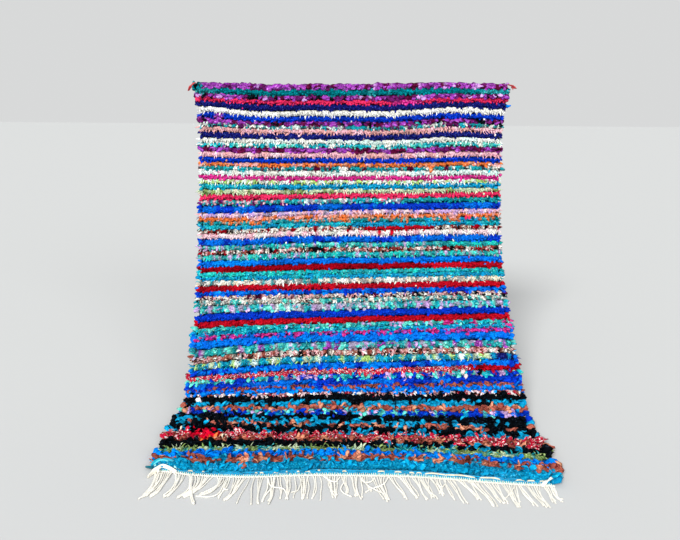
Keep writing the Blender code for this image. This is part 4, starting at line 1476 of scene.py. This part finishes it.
fringe = {
    "seed": 11,
    "yarn": (252, 248, 238),
    "shades": (0.86, 1.04),
    "radius": 0.0024,
    "radiusRange": (0.88, 1.12),
    "steps": 26,
    "start": 0.7,  # where in the width of the edge its strands start
    "fall": 9,  # how steeply they come down from it: they lie flat after a ninth of their length
    "share": 0.72,  # of a clump's warps that show, as they lie in pairs
    "tipPitch": 0.0024,
    # corner clumps that show every warp, and how far apart its tips are
    "whole": {0: 0.0040, 37: 0.0034, 38: 0.0034},
    "ragged": 0.016,
    "tangle": 0.0036,  # how far strands of a clump lie out of their order at its tips
    "gather": (0.50, 0.2),  # how soon they come together, and how much that differs
    "clumpSway": 0.0032,
    "strandSway": 0.0030,
    "bends": (1.2, 0.4),  # how many waves a strand makes, and how much that differs
    "strandLift": 0.0022,
    "strayLifts": (0.0030, 0.0030, 0.0010),  # the least, the rise and what chance adds
    # strands, how far they lie to the right of their roots halfway and at their tips, how far they reach
    "clumps": [
        (10, 0.009, -0.010, 0.151), (8, 0.008, -0.013, 0.141), (14, 0.001, -0.037, 0.135),
        (5, 0.004, -0.049, 0.117), (3, 0.001, -0.012, 0.129), (8, -0.005, -0.026, 0.141),
        (2, -0.006, -0.018, 0.148), (2, 0.002, 0.014, 0.167), (4, 0.007, 0.020, 0.162),
        (2, 0.008, 0.004, 0.141), (3, 0.009, 0.008, 0.151), (3, 0.013, 0.022, 0.130),
        (5, 0.011, 0.014, 0.134), (2, 0.012, 0.011, 0.141), (7, 0.010, 0.011, 0.137),
        (3, 0.010, 0.004, 0.136), (2, 0.011, 0.006, 0.146), (9, 0.009, 0.020, 0.128),
        (4, 0.007, 0.014, 0.111), (5, 0.005, 0.006, 0.125), (2, 0.004, 0.008, 0.132),
        (3, 0.005, 0.018, 0.096), (9, 0.009, 0.027, 0.145), (4, 0.021, 0.046, 0.131),
        (7, 0.020, 0.044, 0.123), (3, 0.018, 0.040, 0.127), (5, 0.014, 0.028, 0.120),
        (7, 0.010, 0.018, 0.103), (2, 0.012, 0.024, 0.115), (5, 0.017, 0.030, 0.128),
        (4, 0.022, 0.044, 0.104), (8, 0.024, 0.044, 0.136), (4, 0.016, 0.030, 0.114),
        (4, 0.010, 0.020, 0.116), (8, 0.002, 0.008, 0.129), (3, 0.005, 0.019, 0.114),
        (9, 0.002, 0.015, 0.121), (3, 0.001, 0.003, 0.098), (3, 0.002, 0.007, 0.090),
    ],
    # loose strands that cross the clumps: across and reach of points along each
    "strays": [
        [(-0.585, 0.009), (-0.569, 0.077), (-0.554, 0.114), (-0.532, 0.155)],
        [(-0.582, 0.009), (-0.566, 0.077), (-0.551, 0.114), (-0.527, 0.150)],
        [(-0.579, 0.009), (-0.562, 0.077), (-0.547, 0.114), (-0.526, 0.158)],
        [(-0.463, 0.014), (-0.471, 0.071), (-0.489, 0.098), (-0.508, 0.106)],
        [(-0.449, 0.014), (-0.452, 0.076), (-0.452, 0.103), (-0.476, 0.121), (-0.502, 0.114), (-0.521, 0.122),
         (-0.537, 0.114)],
        [(-0.441, 0.014), (-0.448, 0.065), (-0.437, 0.081), (-0.428, 0.073)],
        [(-0.659, 0.010), (-0.662, 0.055), (-0.677, 0.093), (-0.683, 0.135)],
        [(-0.298, 0.011), (-0.286, 0.062), (-0.263, 0.075), (-0.235, 0.071), (-0.221, 0.098),
         (-0.212, 0.134)],
        [(-0.276, 0.010), (-0.274, 0.072), (-0.293, 0.105), (-0.298, 0.141)],
        [(-0.273, 0.010), (-0.270, 0.078), (-0.266, 0.120), (-0.275, 0.156)],
        [(-0.173, 0.013), (-0.178, 0.069), (-0.182, 0.091), (-0.206, 0.097)],
        [(-0.099, 0.011), (-0.068, 0.043), (-0.050, 0.045), (-0.037, 0.014)],
        [(-0.070, 0.009), (-0.078, 0.060), (-0.070, 0.076), (-0.055, 0.097)],
        [(-0.019, 0.007), (-0.021, 0.053), (-0.034, 0.075), (-0.030, 0.096), (-0.009, 0.111), (0.009, 0.121)],
        [(0.026, 0.005), (0.022, 0.067), (0.030, 0.104), (0.042, 0.134)],
        [(0.048, 0.010), (0.040, 0.027), (0.051, 0.049), (0.076, 0.042), (0.091, 0.013)],
        [(0.044, 0.016), (0.062, 0.065), (0.086, 0.080), (0.111, 0.095), (0.124, 0.105)],
        [(0.143, 0.005), (0.126, 0.051), (0.104, 0.068), (0.079, 0.075), (0.054, 0.098)],
        [(0.249, 0.005), (0.251, 0.055), (0.255, 0.087), (0.267, 0.127)],
        [(0.289, 0.002), (0.279, 0.058), (0.282, 0.090), (0.302, 0.099), (0.306, 0.119)],
        [(0.310, 0.006), (0.313, 0.045), (0.329, 0.055), (0.343, 0.032)],
        [(0.346, 0.009), (0.344, 0.049), (0.352, 0.085), (0.365, 0.115)],
        [(0.436, 0.009), (0.442, 0.052), (0.450, 0.084), (0.456, 0.104)],
        [(0.592, 0.013), (0.563, 0.059), (0.543, 0.081), (0.534, 0.092)],
        [(0.596, 0.012), (0.588, 0.067), (0.586, 0.098)],
        [(0.610, 0.011), (0.625, 0.069), (0.642, 0.116)],
        [(0.717, 0.007), (0.715, 0.056), (0.725, 0.076), (0.741, 0.069)],
        [(-0.710, 0.021), (-0.702, 0.082), (-0.707, 0.125), (-0.717, 0.145), (-0.726, 0.158)],
    ],
}


def strandRoots():
    total = sum(row[0] for row in fringe["clumps"])
    return (np.arange(total) + 0.5) / total * cloth["width"] - halfWidth


def twinedEdge(material):
    # two plies of white yarn that wind round each other along the end of the cloth, stitched up into the hem
    chance = np.random.default_rng(edge["seed"])
    middle = clothLength + edge["gap"] + edge["width"] / 2
    turns = cloth["width"] / edge["twinePitch"]
    aside, rise = edge["plySway"]
    colour = linear(fringe["yarn"])
    tubes = []
    for ply in (0, 1):
        share = np.linspace(0, 1, int(turns * edge["stepsPerTurn"]) + 1)
        wind = 2 * np.pi * turns * share + ply * np.pi
        across = (share - 0.5) * cloth["width"]
        down = middle + edge["plyRadius"] * aside * np.sin(wind) + rowWave(across, chance, edge["wander"])
        lift = edge["lift"] + edge["plyRadius"] * rise * np.cos(wind)
        tubes.append(cord(np.column_stack([down, across, lift]), edge["plyRadius"], cloth["width"],
                          colour * edge["plyShades"][ply], flat=edge["plyFlat"]))
    for root in strandRoots():
        at = root + chance.normal(0, edge["stitchStray"])
        lean = chance.normal(0, edge["stitchLean"])
        long = edge["stitch"] * chance.uniform(*edge["stitchRange"])
        shares = zip((0, 0.5, 1), edge["stitchLifts"])
        path, _ = smoothPath([(middle - long * share, at + lean * share, lift) for share, lift in shares], 4)
        tubes.append(cord(path, edge["stitchRadius"], long, colour * chance.uniform(*edge["stitchShades"])))
    return joinTubes("twined_edge", tubes, 1, material, "fringe")


def clumpStrands(chance):
    # the path and length of every warp end that lies in a clump
    start = edge["width"] * fringe["start"]
    near = clothLength + edge["gap"] + start
    roots = strandRoots()
    pitch = roots[1] - roots[0]
    share = np.linspace(0, 1, fringe["steps"] + 1)
    falling = np.clip(1 - fringe["fall"] * share, 0, 1)  # from the lift of the edge to the floor
    waveCount, countSpread = fringe["bends"]
    plan = []
    first = 0
    for number, (size, halfway, tip, reach) in enumerate(fringe["clumps"]):
        waves = chance.uniform(-1, 1, 2)
        count = size if number in fringe["whole"] else max(1, round(size * fringe["share"]))
        tipPitch = fringe["whole"].get(number, fringe["tipPitch"])
        middle = roots[first] + (size - 1) / 2 * pitch
        first += size
        for i in range(count):
            place = i - (count - 1) / 2
            root = middle + place * pitch * size / count
            gather = middle + place * tipPitch - root + chance.normal(0, fringe["tangle"])
            long = reach - chance.uniform(0, fringe["ragged"]) - start
            own = chance.uniform(-1, 1, 3)
            aside = halfway * 4 * share * (1 - share) + tip * share * (2 * share - 1)
            aside = aside + gather * share ** (fringe["gather"][0] + fringe["gather"][1] * own[2])
            aside = aside + fringe["clumpSway"] * waves[0] * np.sin(2 * np.pi * share) * share
            bends = 2 * np.pi * share * (waveCount + countSpread * own[0]) + 3 * own[1]
            aside = aside + fringe["strandSway"] * np.sin(bends) * share
            high = fringe["radius"] + (edge["lift"] - fringe["radius"]) * falling
            high = high + fringe["strandLift"] * abs(own[2]) * np.sin(np.pi * share) ** 1.5
            plan.append((np.column_stack([near + long * share, root + aside, high]), long))
    return plan


def strayStrands(chance):
    # the loose ones that cross them
    share = np.linspace(0, 1, fringe["steps"] + 1)
    low, rise, more = fringe["strayLifts"]
    plan = []
    for points in fringe["strays"]:
        path, long = smoothPath(points, fringe["steps"])
        high = low + rise * np.sin(np.pi * np.clip(share * 1.4, 0, 1)) ** 0.6 + chance.uniform(0, more)
        plan.append((np.column_stack([clothLength + edge["gap"] + path[:, 1], path[:, 0], high]), long))
    return plan


def warpEnds(material):
    chance = np.random.default_rng(fringe["seed"])
    tubes = []
    for path, long in clumpStrands(chance) + strayStrands(chance):
        radius = fringe["radius"] * chance.uniform(*fringe["radiusRange"])
        tubes.append(cord(path, radius, long, linear(fringe["yarn"]) * chance.uniform(*fringe["shades"])))
    return joinTubes("warp_ends", tubes, 64, material, "fringe")


# Rag ties and folded corners: short strips along a bent line.
ragStrip = {
    "sides": 8,
    "fold": 0.35,  # how deep the fold down its middle is, as a share of half its width
    "endWidth": 0.75,  # width of its ends and size of its ruffles, as shares of its width
    "ruffle": 0.06,
    "ruffles": 17,  # how close they follow each other
    # a turn of it round the knot: sides, steps, how much higher than wide, how much flatter the strip lies
    "ringSides": 6,
    "ringSteps": 16,
    "ringHeight": 1.15,
    "ringFlat": 0.8,
    "ringSlant": 0.5,
    "ringRuffle": 0.0008,
}


def bentStrip(points, width, thick, steps, colour, turns=0.0):
    # a flat strip with a fold down its middle, along a curve through given points
    path, length = smoothPath(points, steps)
    ahead = np.gradient(path, axis=0)
    ahead /= np.linalg.norm(ahead, axis=1, keepdims=True)
    side = np.cross(ahead, (0.0, 1.0, 0.0))
    side /= np.linalg.norm(side, axis=1, keepdims=True)
    off = np.cross(side, ahead)
    ends = ragStrip["endWidth"]

    def place(u, t):
        at = np.rint(t * steps).astype(int)
        turn = 2 * np.pi * turns * t
        breadth = ends + (1 - ends) * np.sin(np.pi * t) + ragStrip["ruffle"] * np.sin(ragStrip["ruffles"] * t)
        across = np.cos(2 * np.pi * u) * width / 2 * breadth
        lift = np.sin(2 * np.pi * u) * thick / 2 * (t > 0) * (t < 1) - ragStrip["fold"] * np.abs(across)
        p = across * np.cos(turn) - lift * np.sin(turn)
        q = across * np.sin(turn) + lift * np.cos(turn)
        return path[at] + side[at] * p[:, None] + off[at] * q[:, None]

    shape = asArrays(latticeShape(ragStrip["sides"], steps, place))
    return {"shape": shape, "girth": width * 2, "length": length, "colour": linear(colour)}


def ringStrip(centre, radius, width, thick, tilt, colour):
    # one turn of the strip round the knot
    tilt = math.radians(tilt)

    def place(u, t):
        angle = 2 * np.pi * t
        out = radius + np.sin(2 * np.pi * u) * thick / 2
        x = np.cos(angle) * out
        z = np.sin(angle) * out * ragStrip["ringHeight"]
        y = np.cos(2 * np.pi * u) * width / 2 + ragStrip["ringRuffle"] * np.sin(3 * angle)
        return np.stack([
            centre[0] + x * math.cos(tilt) - y * math.sin(tilt),
            centre[1] + y * ragStrip["ringFlat"],
            centre[2] + z + x * math.sin(tilt) * ragStrip["ringSlant"],
        ], axis=1)

    shape = asArrays(latticeShape(ragStrip["ringSides"], ragStrip["ringSteps"], place))
    return {"shape": shape, "girth": width * 2, "length": 2 * math.pi * radius, "colour": linear(colour)}


tie = {
    "rag": (206, 66, 70),
    # a darker copy of the same red rag: painted shade on the second tail and the smaller turn round the knot
    "shadeRag": (156, 34, 42),
    "knot": (0.015, 0.012, 0.018),
    "knotClear": 0.0008,
    # how far the tail runs out beside the corner and down, its width
    "tails": {"left": (0.027, 0.026, 0.0135), "right": (0.018, 0.008, 0.0100)},
    "ends": {"left": 0.020, "right": 0.030},  # how far the other end runs back over the cloth
    "beside": {"left": 0.0, "right": 0.016},  # how far the tie stands beside the corner
    # radius, width, thickness, tilt and height of the two turns round the knot
    "turns": [(0.0056, 0.0080, 0.0028, 12, 0.0, "rag"), (0.0047, 0.0064, 0.0030, -38, -0.001, "shadeRag")],
}


def cornerTie(side, name, material):
    corner = onCloth(0.0, side * halfWidth, 0.0) + np.array([tie["beside"][name], 0.0, 0.0])
    wide, deep, high = tie["knot"]
    centre = corner + np.array([side * wide / 2, -deep / 2 - tie["knotClear"], -high / 2])
    reach, fall, width = tie["tails"][name]

    def at(out, down, near=0.0):
        return centre + np.array([side * out, -near, -down])

    # points, width, thickness, steps, rag, turns: two tails, a short end and the end over the cloth
    strips = [
        ([centre, at(reach * 0.5, fall * 0.25, 0.004), at(reach, fall)], width, 0.0044, 14, "rag", 0.25),
        ([centre, at(reach * 0.35, fall * 0.35, 0.004), at(reach * 0.72, fall * 0.95)],
         width * 0.8, 0.0038, 12, "shadeRag", -0.2),
        ([centre, at(0.0, 0.008, 0.004), at(reach * 0.14, 0.010 + fall * 0.5)],
         0.0076, 0.0030, 8, "rag", 0.15),
        ([centre, at(0.0, -0.004, 0.008), at(-tie["ends"][name], -0.010, 0.020)],
         width * 0.8, 0.0036, 8, "rag", 0.2),
    ]
    tubes = [ringStrip(at(0.0, -height), radius, broad, thick, tilt * side, tie[rag])
             for radius, broad, thick, tilt, height, rag in tie["turns"]]
    for points, broad, thick, steps, rag, turns in strips:
        tubes.append(bentStrip(points, broad, thick, steps, tie[rag], turns))
    return joinTubes("knotted_rag_" + name, tubes, 2, material, "corner_tie_" + name)


# Where the white edge curls back over the hem at the left corner and sticks up twisted at the right one:
# width, thickness, turns, colour, then down from the end of the hem, across, lift of points along each strip.
cornerStrips = [
    (0.0150, 0.0060, 0.08, (250, 245, 232),
     [(0.016, -0.704, 0.005), (0.000, -0.716, 0.014), (-0.014, -0.710, 0.019), (-0.014, -0.692, 0.018),
      (-0.006, -0.668, 0.012), (0.003, -0.640, 0.005)]),
    (0.0190, 0.0070, 0.06, (248, 242, 228),
     [(-0.012, -0.704, 0.017), (0.004, -0.719, 0.015), (0.022, -0.729, 0.008), (0.044, -0.738, 0.004)]),
    (0.0080, 0.0040, 0.00, (196, 128, 84),
     [(-0.018, -0.716, 0.022), (-0.021, -0.708, 0.023), (-0.022, -0.700, 0.022)]),
    (0.0080, 0.0040, 0.10, (168, 228, 226),
     [(-0.014, -0.732, 0.014), (-0.024, -0.716, 0.021), (-0.024, -0.694, 0.022), (-0.016, -0.664, 0.017),
      (-0.010, -0.630, 0.012)]),
    (0.0130, 0.0070, 0.15, (20, 164, 192),
     [(-0.016, -0.742, 0.014), (-0.034, -0.738, 0.022), (-0.044, -0.716, 0.027), (-0.044, -0.690, 0.026),
      (-0.034, -0.660, 0.022)]),
    (0.0090, 0.0060, 0.20, (92, 206, 218),
     [(-0.018, -0.734, 0.018), (-0.032, -0.722, 0.026), (-0.036, -0.702, 0.028), (-0.030, -0.680, 0.024)]),
    (0.0130, 0.0070, 0.10, (0, 104, 126),
     [(-0.026, -0.676, 0.019), (-0.022, -0.650, 0.019), (-0.020, -0.620, 0.016)]),
    (0.0150, 0.0080, 0.10, (0, 100, 118),
     [(-0.010, -0.732, 0.010), (-0.014, -0.748, 0.012), (-0.020, -0.764, 0.009)]),
    (0.0150, 0.0065, 0.60, (236, 240, 228),
     [(0.010, 0.684, 0.004), (0.002, 0.700, 0.012), (-0.008, 0.717, 0.018), (-0.016, 0.734, 0.021)]),
    (0.0090, 0.0045, 0.15, (176, 122, 88),
     [(-0.014, 0.730, 0.022), (-0.018, 0.739, 0.024), (-0.022, 0.746, 0.023)]),
    (0.0170, 0.0080, 0.15, (10, 158, 190),
     [(-0.022, 0.726, 0.012), (-0.030, 0.748, 0.018), (-0.034, 0.774, 0.014)]),
]


def cornerFolds(material):
    tubes = []
    for width, thick, turns, colour, points in cornerStrips:
        down, across, lift = np.array(points).T
        tubes.append(bentStrip(onCloth(clothLength + down, across, lift), width, thick, 14, colour, turns))
    return joinTubes("corner_folds", tubes, 3, material, "fringe")


# The studio: pale floor, soft light, the camera at the photograph's angle.
studio = {
    "floorSize": 160.0,
    "floor": (0.54, 0.545, 0.55),
    "air": (0.93, 0.94, 0.94),
    "airStrength": 0.74,
    "aim": (0.0, -0.3, -0.75),
    # name, place, width of its light in degrees, strength, colour
    "lamps": [
        ("key", (-2.4, -5.0, 3.4), 18, 2.9, (0.99, 1.0, 0.97)),
        ("fill", (3.6, -4.4, 1.6), 30, 0.9, (0.99, 1.0, 0.98)),
    ],
}

# focal length in pixels of a picture 680 wide, the camera's place, angles in degrees
view = {
    "pixels": 541.0,
    "pictureWidth": 680,
    "sensor": 36.0,
    "place": (0.0485, -2.71, -0.1435),
    "down": 15.94,
    "left": 2.04,
    "roll": 0.408,
}


def buildStudio():
    bm = bmesh.new()
    bmesh.ops.create_grid(bm, x_segments=1, y_segments=1, size=studio["floorSize"] / 2)
    bmesh.ops.translate(bm, vec=(0.0, 0.0, cloth["floorHeight"]), verts=bm.verts)
    mesh = bpy.data.meshes.new("studio_floor")
    bm.to_mesh(mesh)
    bm.free()
    floor = bpy.data.objects.new("studio_floor", mesh)
    bpy.context.collection.objects.link(floor)
    material, _, shader = newMaterial("paleFloor", 0.9, 0.0)
    shader.inputs["Base Color"].default_value = (*studio["floor"], 1.0)
    mesh.materials.append(material)
    for name, place, width, strength, colour in studio["lamps"]:
        light = bpy.data.lights.new(name, "SUN")
        light.angle = math.radians(width)
        light.energy = strength
        light.color = colour
        lamp = bpy.data.objects.new(name, light)
        bpy.context.collection.objects.link(lamp)
        lamp.location = place
        lamp.rotation_euler = (Vector(studio["aim"]) - Vector(place)).to_track_quat("-Z", "Y").to_euler()
    world = bpy.data.worlds.new("studio")
    world.use_nodes = True
    air = world.node_tree.nodes["Background"]
    air.inputs["Color"].default_value = (*studio["air"], 1.0)
    air.inputs["Strength"].default_value = studio["airStrength"]
    bpy.context.scene.world = world
    bpy.context.scene.view_settings.view_transform = "Standard"


def addCamera():
    down, left, roll = (math.radians(view[key]) for key in ("down", "left", "roll"))
    ahead = Vector((-math.sin(left) * math.cos(down), math.cos(left) * math.cos(down), -math.sin(down)))
    right = Vector((math.cos(left), math.sin(left), 0.0))
    up = right.cross(ahead)
    right, up = right * math.cos(roll) + up * math.sin(roll), up * math.cos(roll) - right * math.sin(roll)
    lens = bpy.data.cameras.new("camera")
    lens.sensor_width = view["sensor"]
    lens.lens = view["pixels"] / view["pictureWidth"] * view["sensor"]
    camera = bpy.data.objects.new("camera", lens)
    turn = Matrix((right, up, -ahead)).transposed().to_4x4()
    camera.matrix_world = Matrix.Translation(view["place"]) @ turn
    bpy.context.collection.objects.link(camera)
    bpy.context.scene.camera = camera


# The making.
buildStudio()
addCamera()

cottonMaterial = warpCotton()
hemMaterial = hemRag()
groundPiece = wovenGround(groundCloth())
print("woven ground:", len(groundPiece.data.polygons), "faces")

onCloths = [hemBand(hemMaterial)]
onCloths += [makePiece(cottonMaterial) for makePiece in (twinedEdge, warpEnds, cornerFolds)]
print("hem, twined edge, warp ends and corner folds made")

onCloths += [cornerTie(-1, "left", hemMaterial), cornerTie(1, "right", hemMaterial)]
print("corner ties made")

shapes = lockShapes()
pileMaterials = [ragCloth(), ragYarn(), packedRags()]
firstRow = 0
for count in bandRows:
    numbers = list(range(firstRow, firstRow + count))
    name = "pile_rows_%02d_%02d" % (firstRow + 1, firstRow + count)
    band, locks = pileBand(name, numbers, shapes, pileMaterials)
    onCloths.append(band)
    firstRow += count
    print(name + ":", locks, "locks,", len(band.data.polygons), "faces")
